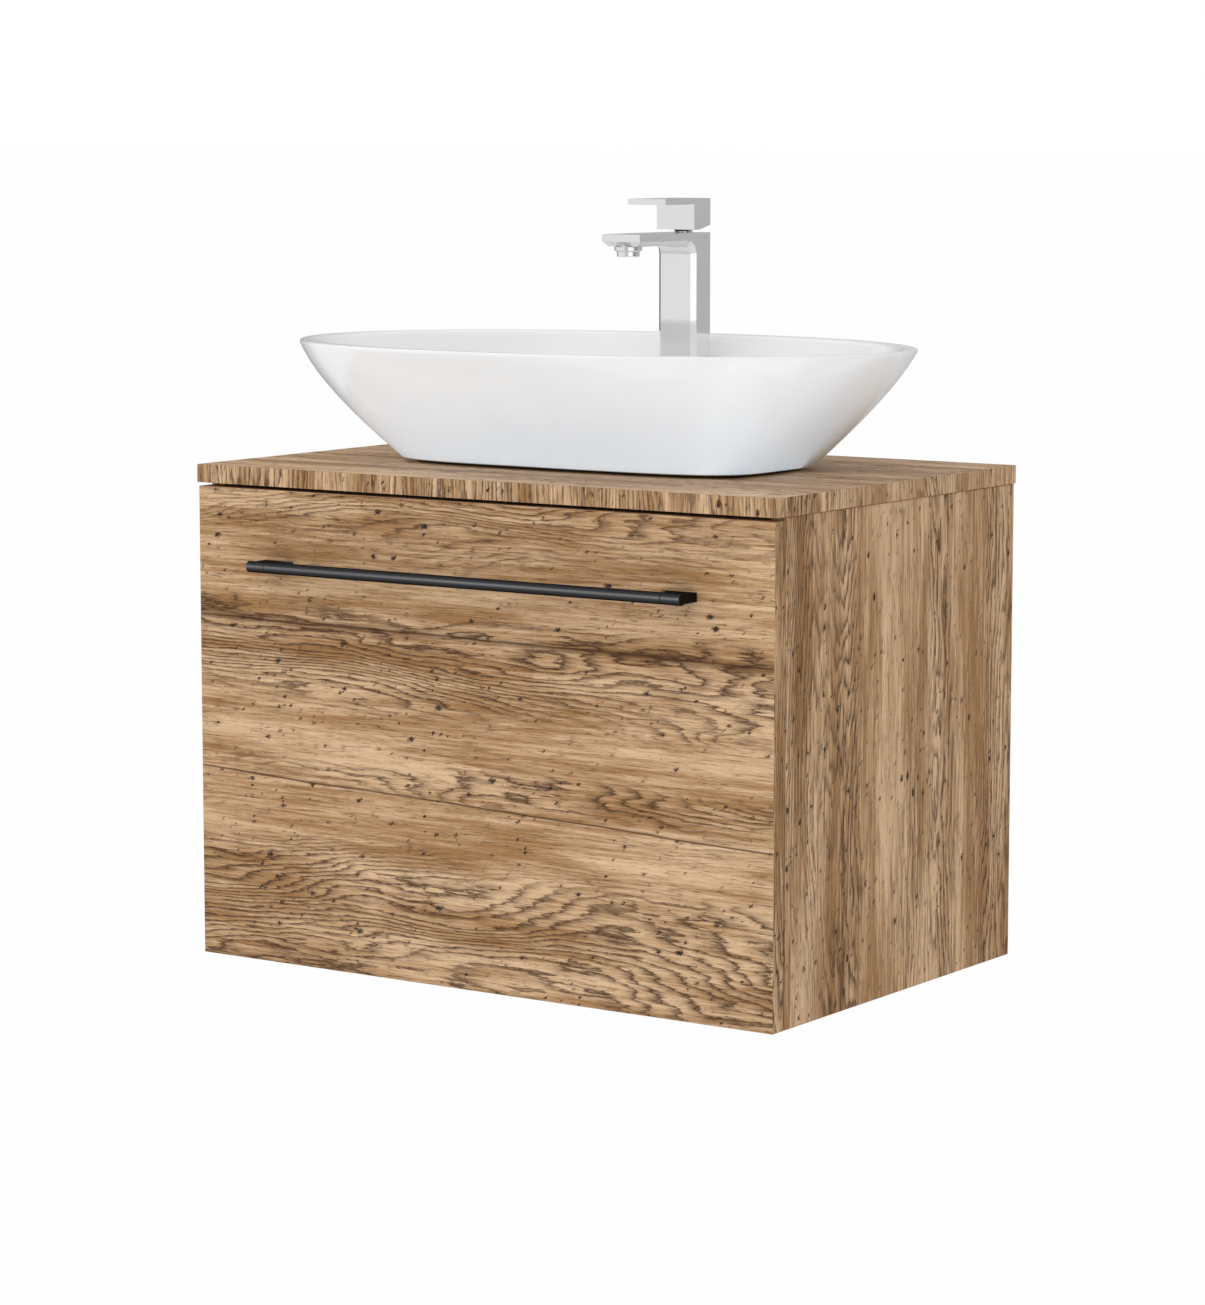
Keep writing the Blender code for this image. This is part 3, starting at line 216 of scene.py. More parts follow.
def wood_group():
    """Plain-sawn grain: X of the input runs along the grain and Y across it, in metres."""
    tree = bpy.data.node_groups.new("rustic_grain", "ShaderNodeTree")
    for name, kind in (("Vector", "NodeSocketVector"), ("Figure", "NodeSocketFloat")):
        tree.interface.new_socket(name=name, in_out="INPUT", socket_type=kind)
    for name, kind in (("Color", "NodeSocketColor"), ("Height", "NodeSocketFloat")):
        tree.interface.new_socket(name=name, in_out="OUTPUT", socket_type=kind)
    g = Graph(tree)
    inputs = g.node("NodeGroupInput").outputs
    place, figure = inputs["Vector"], inputs["Figure"]
    across = g.split(place)[1]

    # Growth rings: contours of a field that is stretched along the grain.
    broad = g.noise(place, (1.9, 10.0, 5.0), 1.0)
    middle = g.noise(place, (7.0, 38.0, 20.0), 2.0)
    jagged = g.noise(place, (45.0, 420.0, 90.0), 3.0, 0.6)
    field = g.math("MULTIPLY", across, RINGS_ACROSS)
    for wave, reach in ((broad, RING_BROAD), (middle, RING_MIDDLE), (jagged, RING_JAGGED)):
        field = g.math("MULTIPLY_ADD", wave, reach, field)
    line = g.ramp(g.math("FRACT", field), RING_SHADE)

    # Where the rings show strongly, and where the surface stays plain.
    patch = g.noise(place, (2.2, 17.0, 4.0), 3.0, 0.6)
    strength = g.step(g.math("ADD", patch, figure), 0.80, 1.16, 0.10, 0.95)

    tone = g.noise(place, (3.5, 34.0, 8.0), 3.0, 0.6)
    streak = g.noise(place, (11.0, 330.0, 60.0), 4.0, 0.75)
    fibre = g.noise(place, (48.0, 760.0, 300.0), 3.0, 0.75)
    blend = g.math("MULTIPLY_ADD", streak, 0.95, tone)
    color = g.mix(g.step(blend, 0.72, 1.20), WOOD_LIGHT, WOOD_MIDDLE)
    color = g.mix(g.math("MULTIPLY", line, strength), color, WOOD_DARK)
    pores = g.step(fibre, 0.52, 0.68, 0.0, 0.62)
    color = g.mix(pores, color, WOOD_DARK)

    # Ragged worm holes in clusters, large and small, each with a stain, and a few small knots.
    ragged = g.noise(place, (520.0, 700.0, 520.0), 2.0)
    shift = g.math("MULTIPLY_ADD", ragged, HOLE_SHAKE, -HOLE_SHAKE / 2)
    shaken = g.vector("ADD", place, g.combine(shift, shift, 0.0))
    cluster = g.noise(place, (7.0, 19.0, 7.0), 2.0)
    hole = 0.0
    for size, offset, least, spread, share in WORM_HOLES:
        distance, chance = g.cells(g.vector("ADD", shaken, (offset,) * 3), size)
        chosen = g.step(g.math("ADD", chance[0], cluster), share, share + 0.01)
        radius = g.math("MULTIPLY_ADD", g.math("POWER", chance[1], 2.0), spread, least)
        pit = g.math("MULTIPLY", chosen, g.step(g.math("DIVIDE", distance, radius), 1.3, 0.6))
        stain = g.math("MULTIPLY", chosen, g.step(distance, 0.30, 0.08, 0.0, 0.34))
        color = g.mix(stain, color, WOOD_DARK)
        hole = g.math("MAXIMUM", hole, pit)
    spot, luck = g.cells(shaken, KNOT_CELLS)
    knot = g.math("MULTIPLY", g.step(luck[0], 0.88, 0.89), g.step(spot, 0.20, 0.05))
    color = g.mix(g.math("MULTIPLY", knot, 0.85), color, WOOD_DARK)
    color = g.mix(g.math("MULTIPLY", hole, 0.95), color, WOOD_HOLE)

    height = g.math("MULTIPLY_ADD", g.math("MULTIPLY", line, strength), -0.6, 1.0)
    height = g.math("MULTIPLY_ADD", fibre, -0.35, height)
    height = g.math("MULTIPLY_ADD", hole, -1.6, height)
    outputs = g.node("NodeGroupOutput")
    g.feed(outputs.inputs["Color"], color)
    g.feed(outputs.inputs["Height"], height)
    return tree


GRAIN = wood_group()


def wood_material(name, faces, offset, levels, figure=None, seams=()):
    """Decor board. faces maps each world axis a face can look along to its grain's directions.

    levels says how strongly the rings show on each of those faces. figure refines the first: a
    range across the grain and (share, level) stops along it. Each seam of the first face has a
    rest, a slope, a half width, the spread of its stain and the stain's depth.
    """
    material, g, shader, place = new_material(name, Roughness=0.5)
    shader.inputs["Specular IOR Level"].default_value = 0.25
    normal = g.node("ShaderNodeTexCoord").outputs["Normal"]
    axes = g.split(place)
    facing = g.split(g.vector("ABSOLUTE", normal))
    color = height = None
    for order, (axis, (along, over)) in enumerate(faces.items()):
        turned = g.combine(axes["XYZ".index(along)], axes["XYZ".index(over)],
                           axes["XYZ".index(axis)])
        shifted = g.vector("ADD", turned, tuple(part + order * 1.7 for part in offset))
        level = levels[order]
        if figure and order == 0:
            (low, high), stops = figure
            wave = g.noise(turned, (5.0, 2.0, 1.0), 2.0)
            share = g.math("DIVIDE", g.math("SUBTRACT", axes["XYZ".index(over)], low), high - low)
            level = g.ramp(g.math("MULTIPLY_ADD", wave, 0.10, g.math("ADD", share, -0.05)), stops)
        made = g.node("ShaderNodeGroup", node_tree=GRAIN)
        g.feed(made.inputs["Vector"], shifted)
        g.feed(made.inputs["Figure"], level)
        here, rise = made.outputs["Color"], made.outputs["Height"]
        if order == 0:
            for rest, slope, width, spread, depth in seams:
                drift = g.math("MULTIPLY_ADD", g.noise(turned, (9.0, 1.0, 1.0), 2.0), 0.006, rest)
                middle = g.math("MULTIPLY_ADD", axes["XYZ".index(along)], slope, drift)
                gap = g.math("ABSOLUTE", g.math("SUBTRACT", axes["XYZ".index(over)], middle))
                rough = g.math("MULTIPLY_ADD", g.noise(turned, (18.0, 300.0, 1.0), 3.0), spread, gap)
                here = g.mix(g.step(rough, spread * 1.5, spread * 0.4, 0.0, depth), here, WOOD_DARK)
                here = g.mix(g.step(gap, width, width * 0.3, 0.0, 0.72), here, WOOD_DARK)
        if color is None:
            color, height = here, rise
        else:
            chosen = g.math("GREATER_THAN", facing["XYZ".index(axis)], 0.6)
            color = g.mix(chosen, color, here)
            height = g.mix(chosen, height, rise)
    g.feed(shader.inputs["Base Color"], color)
    g.feed(shader.inputs["Roughness"], g.step(height, 0.2, 1.0, 0.62, 0.46))
    g.feed(shader.inputs["Normal"], g.bump(height, 0.0004, 0.7))
    return material


# ---------------------------------------------------------------- other finishes


def ceramic_material():
    material, g, shader, place = new_material(
        "white_glaze", Base_Color=(0.90, 0.90, 0.90), Roughness=0.16, Coat_Weight=0.25,
        Coat_Roughness=0.06,
    )
    wave = g.noise(place, (14.0, 14.0, 14.0), 2.0)
    glaze = g.mix(wave, (0.885, 0.885, 0.888), (0.905, 0.905, 0.905))
    # Painted shadow: the narrow foot under the glaze is coloured near black, standing in for the shade
    # in the gap under the basin.
    foot = g.step(g.split(place)[2], BASIN_Z + FOOT_HEIGHT, BASIN_Z + FOOT_HEIGHT * 0.8)
    g.feed(shader.inputs["Base Color"], g.mix(foot, glaze, (0.03, 0.028, 0.025)))
    g.feed(shader.inputs["Roughness"], g.step(wave, 0.3, 0.7, 0.14, 0.19))
    g.feed(shader.inputs["Normal"], g.bump(wave, 0.0002, 0.15))
    return material


def metal_material(name, color, low, high, scale=(40.0, 40.0, 40.0), depth=0.00002, tint=1.0):
    """Metal whose roughness drifts between low and high, and whose edges reflect by tint."""
    material, g, shader, place = new_material(name, Metallic=1.0, Specular_Tint=(tint, tint, tint))
    wave = g.noise(place, scale, 3.0)
    darker = tuple(part * 0.93 for part in color)
    g.feed(shader.inputs["Base Color"], g.mix(wave, darker, color))
    g.feed(shader.inputs["Roughness"], g.step(wave, 0.3, 0.7, low, high))
    g.feed(shader.inputs["Normal"], g.bump(wave, depth, 0.3))
    return material


def plain_material(name, color, roughness, grain, depth, metallic=0.0):
    """Board facing, plastic or rubber with a fine grain."""
    material, g, shader, place = new_material(name, Metallic=metallic)
    fine = g.noise(place, (grain,) * 3, 3.0, 0.6)
    broad = g.noise(place, (9.0,) * 3, 2.0)
    tone = g.math("MULTIPLY_ADD", fine, 0.5, g.math("MULTIPLY", broad, 0.5))
    darker = tuple(part * 0.88 for part in color)
    g.feed(shader.inputs["Base Color"], g.mix(g.step(tone, 0.3, 0.7), darker, color))
    g.feed(shader.inputs["Roughness"], g.step(fine, 0.3, 0.7, roughness * 0.9, roughness * 1.1))
    g.feed(shader.inputs["Normal"], g.bump(fine, depth, 0.5))
    return material


# How strongly the rings show across the front, from its foot up, and across a side, from its front.
FRONT_FIGURE = ((-0.3692, 0.0473), [
    (0.0, 0.66), (0.10, 0.74), (0.22, 0.68), (0.30, 0.28), (0.38, 0.30), (0.43, 0.70), (0.47, 0.30),
    (0.54, 0.38), (0.60, 0.66), (0.68, 0.76), (0.74, 0.74), (0.78, 0.26), (0.88, 0.34), (1.0, 0.46),
])
SIDE_FIGURE = ((-0.3763, 0.0), [
    (0.0, 0.48), (0.20, 0.42), (0.27, 0.76), (0.33, 0.38), (0.58, 0.42), (0.66, 0.80), (0.74, 0.42),
    (0.84, 0.46), (0.89, 0.70), (0.95, 0.48),
])
FRONT_SEAMS = ((-0.0712, -0.008, 0.0010, 0.006, 0.55), (-0.214, -0.034, 0.0011, 0.002, 0.35))
FINISHES = {
    "worktop": wood_material(
        "oak_worktop", {"Z": ("X", "Y"), "Y": ("Z", "X"), "X": ("Z", "Y")}, (3.1, 0.7, 0.2),
        (0.50, 0.60, 0.52)),
    "side": wood_material("oak_side", {"X": ("Z", "Y"), "Y": ("Z", "X"), "Z": ("X", "Y")},
                          (5.3, 2.2, 0.9), (0.45, 0.40, 0.40), SIDE_FIGURE),
    "bottom": wood_material("oak_bottom", {"Z": ("X", "Y"), "Y": ("X", "Z"), "X": ("Y", "Z")},
                            (7.7, 4.1, 0.4), (0.45, 0.45, 0.45)),
    "front": wood_material(
        "oak_front", {"Y": ("X", "Z"), "X": ("Z", "Y"), "Z": ("X", "Y")}, (0.6, 0.35, 0.1),
        (0.45, 0.50, 0.45), FRONT_FIGURE,
        FRONT_SEAMS),
    "ceramic": ceramic_material(),
    "chrome": metal_material("polished_chrome", (0.83, 0.83, 0.84), 0.035, 0.065),
    "black": metal_material("anthracite_metal", (0.042, 0.042, 0.044), 0.42, 0.50,
                            (6.0, 900.0, 900.0), tint=0.08),
    # Painted shadow: near-black board colour, standing in for the shade in the gap under the worktop.
    "shade": plain_material("painted_shadow_board", (0.012, 0.011, 0.010), 0.7, 900.0, 0.00006),
    "zinc": metal_material("zinc_steel", (0.60, 0.61, 0.63), 0.28, 0.46, (90.0, 90.0, 90.0)),
    "brass": metal_material("turned_brass", (0.72, 0.52, 0.24), 0.22, 0.36),
    "carcass": plain_material("white_board", (0.80, 0.79, 0.76), 0.5, 900.0, 0.00006),
    "plastic": plain_material("white_plastic", (0.82, 0.82, 0.81), 0.35, 500.0, 0.00003),
    "grey": plain_material("grey_plastic", (0.27, 0.28, 0.29), 0.5, 700.0, 0.00006),
    "rubber": plain_material("black_rubber", (0.028, 0.028, 0.028), 0.75, 800.0, 0.00006),
}


# ---------------------------------------------------------------- pieces


def add_piece(name, mesh, node, finish):
    """Put a mesh in the scene on the body of the CAD node it stands for."""
    obj = bpy.data.objects.new(name, mesh)
    SCENE.collection.objects.link(obj)
    mesh.materials.clear()
    mesh.materials.append(FINISHES[finish])
    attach(obj, frame["nodes"][node]["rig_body"])
    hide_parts(node)
    return obj


def refined(node, finish, width, segments=3):
    """Copy of a CAD node with welded faces and rounded edges."""
    bm = bmesh.new()
    bm.from_mesh(frame["nodes"][node].data)
    bmesh.ops.remove_doubles(bm, verts=bm.verts, dist=0.000002)
    bmesh.ops.dissolve_limit(bm, angle_limit=math.radians(0.5), verts=bm.verts, edges=bm.edges)
    for face in bm.faces:
        face.smooth = True
    mesh = bpy.data.meshes.new(node + "_mesh")
    bm.to_mesh(mesh)
    bm.free()
    obj = add_piece(node + ".fine", mesh, node, finish)
    return soften(obj, width, segments)


def soften(obj, width, segments=3):
    """Round the sharp edges of a piece and keep its flat faces flat."""
    bevel = obj.modifiers.new("Edge", "BEVEL")
    bevel.width = width
    bevel.segments = segments
    bevel.limit_method = "ANGLE"
    bevel.angle_limit = math.radians(32)
    flat = obj.modifiers.new("Flat", "WEIGHTED_NORMAL")
    flat.mode = "FACE_AREA"
    flat.weight = 100
    return obj


def lerp(first, last, t):
    return first + (last - first) * t


# The basin's shape, as in the CAD source.
BASIN_HEIGHT = 0.107
BASE_HALF = (0.181, 0.0895)
RIM_HALF = (0.2966, 0.192)
BASE_CENTRE_Y = -0.1965
RIM_CENTRE_Y = -0.2035
BASE_POWER = 4.4
RIM_POWER = 2.08
WALL = 0.0125
FOOT_INSET = 0.009
FOOT_EDGE = 0.0018
LEDGE_Z = 0.085
LEDGE_FRONT_Y = -0.109
LEDGE_THICKNESS = 0.009
FLOOR_THICKNESS = 0.014
BOWL_STEP = 0.0015
BOWL_NARROWING = 0.016
BOWL_BACK_SLOPE = 0.040
BOWL_FLOOR_POWER = 2.7
FLOOR_FILLET = 0.030
DRAIN_Y = -0.1965
DRAIN_RADIUS = 0.023
TAP_Y = -0.07375
TAP_HOLE_RADIUS = 0.0175
BASIN_SEGMENTS = 288
RIM_STEPS = 14
RIM_HALF_WIDTH = 0.006
RIM_RISE = 0.004
WALL_STEPS = 16
FOOT_STEPS = 4
INSIDE_STEPS = 4
BOWL_STEPS = 32
BOWL_CURVE = 1.6
LEDGE_ROUND = 0.002
OVERRUN = 0.002
TAP_HOLE_SEGMENTS = 48
# Hollow under the ledge: height over the worktop, front and back, at its foot and its top.
HOLLOW_HALF = 0.055
HOLLOW_LEVELS = ((-0.002, -0.137, -0.117), (0.076, -0.097, -0.052))


def superellipse(centre_y, half, power, height):
    points = []
    for i in range(BASIN_SEGMENTS):
        angle = 2 * math.pi * i / BASIN_SEGMENTS
        cos, sin = math.cos(angle), math.sin(angle)
        x = half[0] * math.copysign(abs(cos) ** (2 / power), cos)
        y = half[1] * math.copysign(abs(sin) ** (2 / power), sin)
        points.append(Vector((x, centre_y + y, height)))
    return points


def wall_ring(height, inset=0.0):
    """Ring on the flared wall at a height over the worktop, moved inwards by inset."""
    t = height / BASIN_HEIGHT
    half = [lerp(a, b, t) - inset for a, b in zip(BASE_HALF, RIM_HALF)]
    power = lerp(BASE_POWER, RIM_POWER, t)
    return superellipse(lerp(BASE_CENTRE_Y, RIM_CENTRE_Y, t), half, power, BASIN_Z + height)


def bowl_ring(height, t, grow=0.0):
    """Ring of the bowl: t runs from 0 at the flat floor to 1 at the ledge."""
    rim = wall_ring(height, WALL + BOWL_STEP)
    front, reach = min(p.y for p in rim), max(p.x for p in rim)
    back = LEDGE_FRONT_Y - BOWL_BACK_SLOPE * (1 - t)
    curve = math.sqrt(t * (2 - t))
    front += FLOOR_FILLET * (1 - curve)
    reach -= BOWL_NARROWING + FLOOR_FILLET * (1 - curve)
    half = (reach + grow, (back - front) / 2 + grow)
    power = lerp(BOWL_FLOOR_POWER, RIM_POWER, t)
    return superellipse((front + back) / 2, half, power, BASIN_Z + height)


def circle_ring(radius, height):
    return [Vector((radius * math.cos(2 * math.pi * i / BASIN_SEGMENTS),
                    DRAIN_Y + radius * math.sin(2 * math.pi * i / BASIN_SEGMENTS),
                    BASIN_Z + height)) for i in range(BASIN_SEGMENTS)]


def between(first, last, t):
    return [a.lerp(b, t) for a, b in zip(first, last)]


def skin(name, rings, closed):
    """Mesh through rings of equal counts, joined end to end if closed."""
    bm = bmesh.new()
    rows = [[bm.verts.new(point) for point in ring] for ring in rings]
    pairs = list(zip(rows, rows[1:] + rows[:1])) if closed else list(zip(rows, rows[1:]))
    count = len(rings[0])
    for lower, upper in pairs:
        for i in range(count):
            j = (i + 1) % count
            bm.faces.new((lower[i], lower[j], upper[j], upper[i]))
    if not closed:
        bm.faces.new(rows[0])
        bm.faces.new(rows[-1])
    bmesh.ops.recalc_face_normals(bm, faces=bm.faces)
    for face in bm.faces:
        face.smooth = True
    mesh = bpy.data.meshes.new(name)
    bm.to_mesh(mesh)
    bm.free()
    return mesh


def basin_rings():
    """Rings from the drain's lower edge, out and up the wall, over the rim and down the bowl."""
    base = wall_ring(0, FOOT_INSET)
    drain_low = circle_ring(DRAIN_RADIUS, 0)
    rings = [drain_low, between(drain_low, base, 0.5), base, wall_ring(FOOT_HEIGHT, FOOT_INSET)]
    for i in range(FOOT_STEPS + 1):
        angle = math.pi / 2 * i / FOOT_STEPS
        rise = FOOT_HEIGHT + FOOT_EDGE * (1 - math.cos(angle))
        rings.append(wall_ring(rise, FOOT_EDGE * (1 - math.sin(angle))))
    low, high = FOOT_HEIGHT + FOOT_EDGE, BASIN_HEIGHT - RIM_RISE
    rings += [wall_ring(lerp(low, high, i / WALL_STEPS)) for i in range(1, WALL_STEPS)]
    for i in range(RIM_STEPS + 1):
        angle = math.pi * i / RIM_STEPS
        rise = RIM_RISE * math.sin(angle) ** 0.7 if 0 < i < RIM_STEPS else 0.0
        rings.append(wall_ring(high + rise, RIM_HALF_WIDTH * (1 - math.cos(angle))))
    for i in range(1, INSIDE_STEPS + 1):
        t = i / INSIDE_STEPS
        inset = lerp(2 * RIM_HALF_WIDTH, WALL - TOUCH, t)
        rings.append(wall_ring(lerp(high, LEDGE_Z + LEDGE_ROUND, t), inset))
    rings += [wall_ring(LEDGE_Z + 0.0006, 0.0124), wall_ring(LEDGE_Z, 0.0130)]
    rings += [bowl_ring(LEDGE_Z, 1, 0.0006), bowl_ring(LEDGE_Z - 0.0005, 1, 0.0002)]
    depth = LEDGE_Z - FLOOR_THICKNESS
    for i in range(1, BOWL_STEPS + 1):
        t = 1 - i / BOWL_STEPS
        rings.append(bowl_ring(FLOOR_THICKNESS + depth * t ** BOWL_CURVE, t))
    drain_high = circle_ring(DRAIN_RADIUS, FLOOR_THICKNESS)
    rings += [between(rings[-1], drain_high, i / 3) for i in range(1, 4)]
    rings.append(circle_ring(DRAIN_RADIUS, FLOOR_THICKNESS / 2))
    return rings


def turned(name, node, finish, profile, place, axis=(0, 0, 1), segments=64, width=0.0003):
    """Closed outline of (radius, height) points turned about an axis, softened if width is set."""
    rows = []
    turn = Vector(axis).to_track_quat("Z", "Y").to_matrix()
    bm = bmesh.new()
    for radius, height in profile:
        count = segments if radius > 0 else 1
        rows.append([bm.verts.new(Vector(place) + turn @ Vector((
            radius * math.cos(2 * math.pi * i / segments),
            radius * math.sin(2 * math.pi * i / segments), height))) for i in range(count)])
    for first, last in zip(rows, rows[1:] + rows[:1]):
        if len(first) == len(last) == 1:
            continue
        for i in range(segments):
            j = (i + 1) % segments
            corners = [first[i % len(first)], first[j % len(first)],
                       last[j % len(last)], last[i % len(last)]]
            bm.faces.new(list(dict.fromkeys(corners)))
    bmesh.ops.recalc_face_normals(bm, faces=bm.faces)
    for face in bm.faces:
        face.smooth = True
    mesh = bpy.data.meshes.new(name + "_mesh")
    bm.to_mesh(mesh)
    bm.free()
    obj = add_piece(name, mesh, node, finish)
    return soften(obj, width) if width else obj


def cutter(name, mesh):
    obj = bpy.data.objects.new(name, mesh)
    SCENE.collection.objects.link(obj)
    return obj


def tube(name, radius, low, high, y, segments=48):
    """Plain round cutter standing at X = 0."""
    rings = [[Vector((radius * math.cos(2 * math.pi * i / segments),
                      y + radius * math.sin(2 * math.pi * i / segments), height))
              for i in range(segments)] for height in (low, high)]
    return cutter(name, skin(name, rings, False))


def block_ring(half, front, back, height):
    """Corners of a rectangle from -half to half in X."""
    corners = ((-half, front), (half, front), (half, back), (-half, back))
    return [Vector((x, y, height)) for x, y in corners]


def cut(obj, *tools):
    """Subtract each tool from obj, and apply it."""
    for tool in tools:
        boolean = obj.modifiers.new("Cut", "BOOLEAN")
        boolean.operation = "DIFFERENCE"
        boolean.solver = "EXACT"
        boolean.object = tool
        graph = bpy.context.evaluated_depsgraph_get()
        mesh = bpy.data.meshes.new_from_object(obj.evaluated_get(graph))
        obj.modifiers.clear()
        obj.data = mesh
        bpy.data.objects.remove(tool)


def basin():
    """Glazed bowl with its tap ledge, drain hole, tap hole and the hollow under the ledge."""
    mesh = skin("basin_mesh", basin_rings(), True)
    obj = add_piece("basin.fine", mesh, "basin", "ceramic")
    ledge = BASIN_Z + LEDGE_Z
    low, high = ledge - LEDGE_THICKNESS - OVERRUN, ledge + OVERRUN
    hollow = [block_ring(HOLLOW_HALF, front, back, TOP_Z + height)
              for height, front, back in HOLLOW_LEVELS]
    cut(obj, tube("tap_hole", TAP_HOLE_RADIUS, low, high, TAP_Y, TAP_HOLE_SEGMENTS),
        cutter("ledge_hollow", skin("ledge_hollow", hollow, False)))
    return obj


def cabinet():
    refined("worktop", "worktop", 0.0004)
    for side in ("left", "right"):
        refined("side_panel_" + side, "side", 0.0004)
    refined("bottom_panel", "bottom", 0.0004)
    refined("drawer_front", "front", 0.0004)
    # The front stretcher is coloured near black as painted shadow for the gap under the worktop.
    refined("front_stretcher", "shade", 0.0004)
    for node in ("back_rail_lower", "back_rail_upper", "drawer_side_left",
                 "drawer_side_right", "drawer_back_left", "drawer_back_right", "drawer_floor"):
        refined(node, "carcass", 0.0004)
    refined("drawer_trap_recess", "grey", 0.0006)
    for side in ("left", "right"):
        refined("hanger_" + side, "zinc", 0.0008)
        for kind in ("fixed", "middle", "inner"):
            refined(f"runner_{kind}_{side}", "zinc", 0.00025)


# The tap's shape, as in the CAD source.
TAP_HALF = 0.020
TAP_FRONT_Y = -0.087
TAP_BACK_Y = -0.0605
SPOUT_TIP_Y = -0.174
TAP_TOP_Z = TOP_Z + 0.200
UNDER_Z = TAP_TOP_Z - 0.0107
CHAMFER = 0.0042
FILLET = 0.0095
FILLET_STEPS = 20
CARTRIDGE_RADIUS = 0.0104
CARTRIDGE_DEPTH = 0.034
STUD_Y = -0.0665
STUD_HOLE_RADIUS = 0.0033
STUD_DEPTH = 0.014
AERATOR_Y = -0.162
AERATOR_RADIUS = 0.010
AERATOR_SHOULDER = 0.0015
AERATOR_WALL = 0.0018
AERATOR_FLANGE = 0.0022
AERATOR_SEAT = 0.007
AERATOR_THREAD = 0.006
AERATOR_LENGTH = 0.009
# Steps of the aerator's outside below the spout: flange, waist and chamfer.
AERATOR_STEPS = (0.0035, 0.0045, 0.0085)
PIVOT_RISE = 0.008
PIVOT_Z = TAP_TOP_Z + PIVOT_RISE
DOME_RADIUS = 0.0106
POST_RADIUS = 0.0048
POST_REACH = 0.012
DOME_STEPS = 24
SLOT_HALF = 0.003
SLOT_FRONT = 0.0035
SLOT_BACK = 0.0085
SLOT_BELOW = 0.0035


def tap_body():
    """Column and spout: the full outline in the middle, a narrower one at the two sides."""
    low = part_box("tap_body")[0].z
    rings = []
    for x, inset in ((-TAP_HALF, CHAMFER), (CHAMFER - TAP_HALF, 0.0), (TAP_HALF - CHAMFER, 0.0),
                     (TAP_HALF, CHAMFER)):
        under, front = UNDER_Z + inset, TAP_FRONT_Y + inset
        centre_y, centre_z = TAP_FRONT_Y - FILLET, UNDER_Z - FILLET
        radius = FILLET + inset
        ring = [(TAP_BACK_Y, low), (TAP_BACK_Y, TAP_TOP_Z), (SPOUT_TIP_Y, TAP_TOP_Z),
                (SPOUT_TIP_Y, UNDER_Z + CHAMFER), (SPOUT_TIP_Y + CHAMFER, under)]
        for i in range(FILLET_STEPS + 1):
            angle = math.pi / 2 * (1 - i / FILLET_STEPS)
            ring.append((centre_y + radius * math.cos(angle), centre_z + radius * math.sin(angle)))
        ring.append((front, low))
        rings.append([Vector((x, y, z)) for y, z in ring])
    obj = add_piece("tap_body.fine", skin("tap_body_mesh", rings, False), "tap_body", "chrome")
    floor, seat_radius = TAP_TOP_Z - CARTRIDGE_DEPTH, AERATOR_RADIUS - AERATOR_SHOULDER
    cut(obj, tube("bore", CARTRIDGE_RADIUS, floor, TAP_TOP_Z + OVERRUN, TAP_Y),
        tube("seat", seat_radius, UNDER_Z - OVERRUN, UNDER_Z + AERATOR_SEAT, AERATOR_Y),
        tube("stud", STUD_HOLE_RADIUS, low - OVERRUN, low + STUD_DEPTH, STUD_Y, 24))
    soften(obj, 0.00045)


def aerator():
    """Housing in the spout: a thread, a flange and a narrower skirt."""
    neck = AERATOR_RADIUS - AERATOR_SHOULDER - TOUCH
    bore = neck - AERATOR_WALL
    flange = AERATOR_RADIUS + AERATOR_FLANGE
    flange_low, waist, chamfer = AERATOR_STEPS
    turned("aerator_housing.fine", "aerator_housing", "chrome", [
        (neck, AERATOR_THREAD), (neck, -TOUCH), (flange, -TOUCH), (flange, -flange_low),
        (AERATOR_RADIUS, -waist), (AERATOR_RADIUS, -chamfer),
        (AERATOR_RADIUS - 2 * TOUCH, -AERATOR_LENGTH), (bore, -AERATOR_LENGTH),
        (bore, AERATOR_THREAD),
    ], (0, AERATOR_Y, UNDER_Z), width=0.0002)


def dome():
    """Ball under the lever, with its post below and the lever's slot across it."""
    flat, post_end = PIVOT_RISE - TOUCH, -PIVOT_RISE - POST_REACH + TOUCH
    low = math.asin(-flat / DOME_RADIUS)
    angles = [lerp(math.pi / 2, low, i / DOME_STEPS) for i in range(1, DOME_STEPS + 1)]
    ball = turned("tap_dome.fine", "tap_dome", "chrome", [
        (0, DOME_RADIUS), *((DOME_RADIUS * math.cos(a), DOME_RADIUS * math.sin(a)) for a in angles),
        (POST_RADIUS, -flat), (POST_RADIUS, post_end), (0, post_end),
    ], (0, TAP_Y, PIVOT_Z), width=0.0)
    slot = [block_ring(SLOT_HALF, TAP_Y - SLOT_FRONT, TAP_Y + SLOT_BACK, height)
            for height in (PIVOT_Z - SLOT_BELOW, PIVOT_Z + 2 * DOME_RADIUS)]
    cut(ball, cutter("dome_slot", skin("dome_slot", slot, False)))
    soften(ball, 0.0001)


def handle():
    """Rod and its two ends, given back for their own light."""
    ends = [refined("handle_end_" + side, "black", 0.0004) for side in ("left", "right")]
    return [refined("handle_rod", "black", 0.0003), *ends]


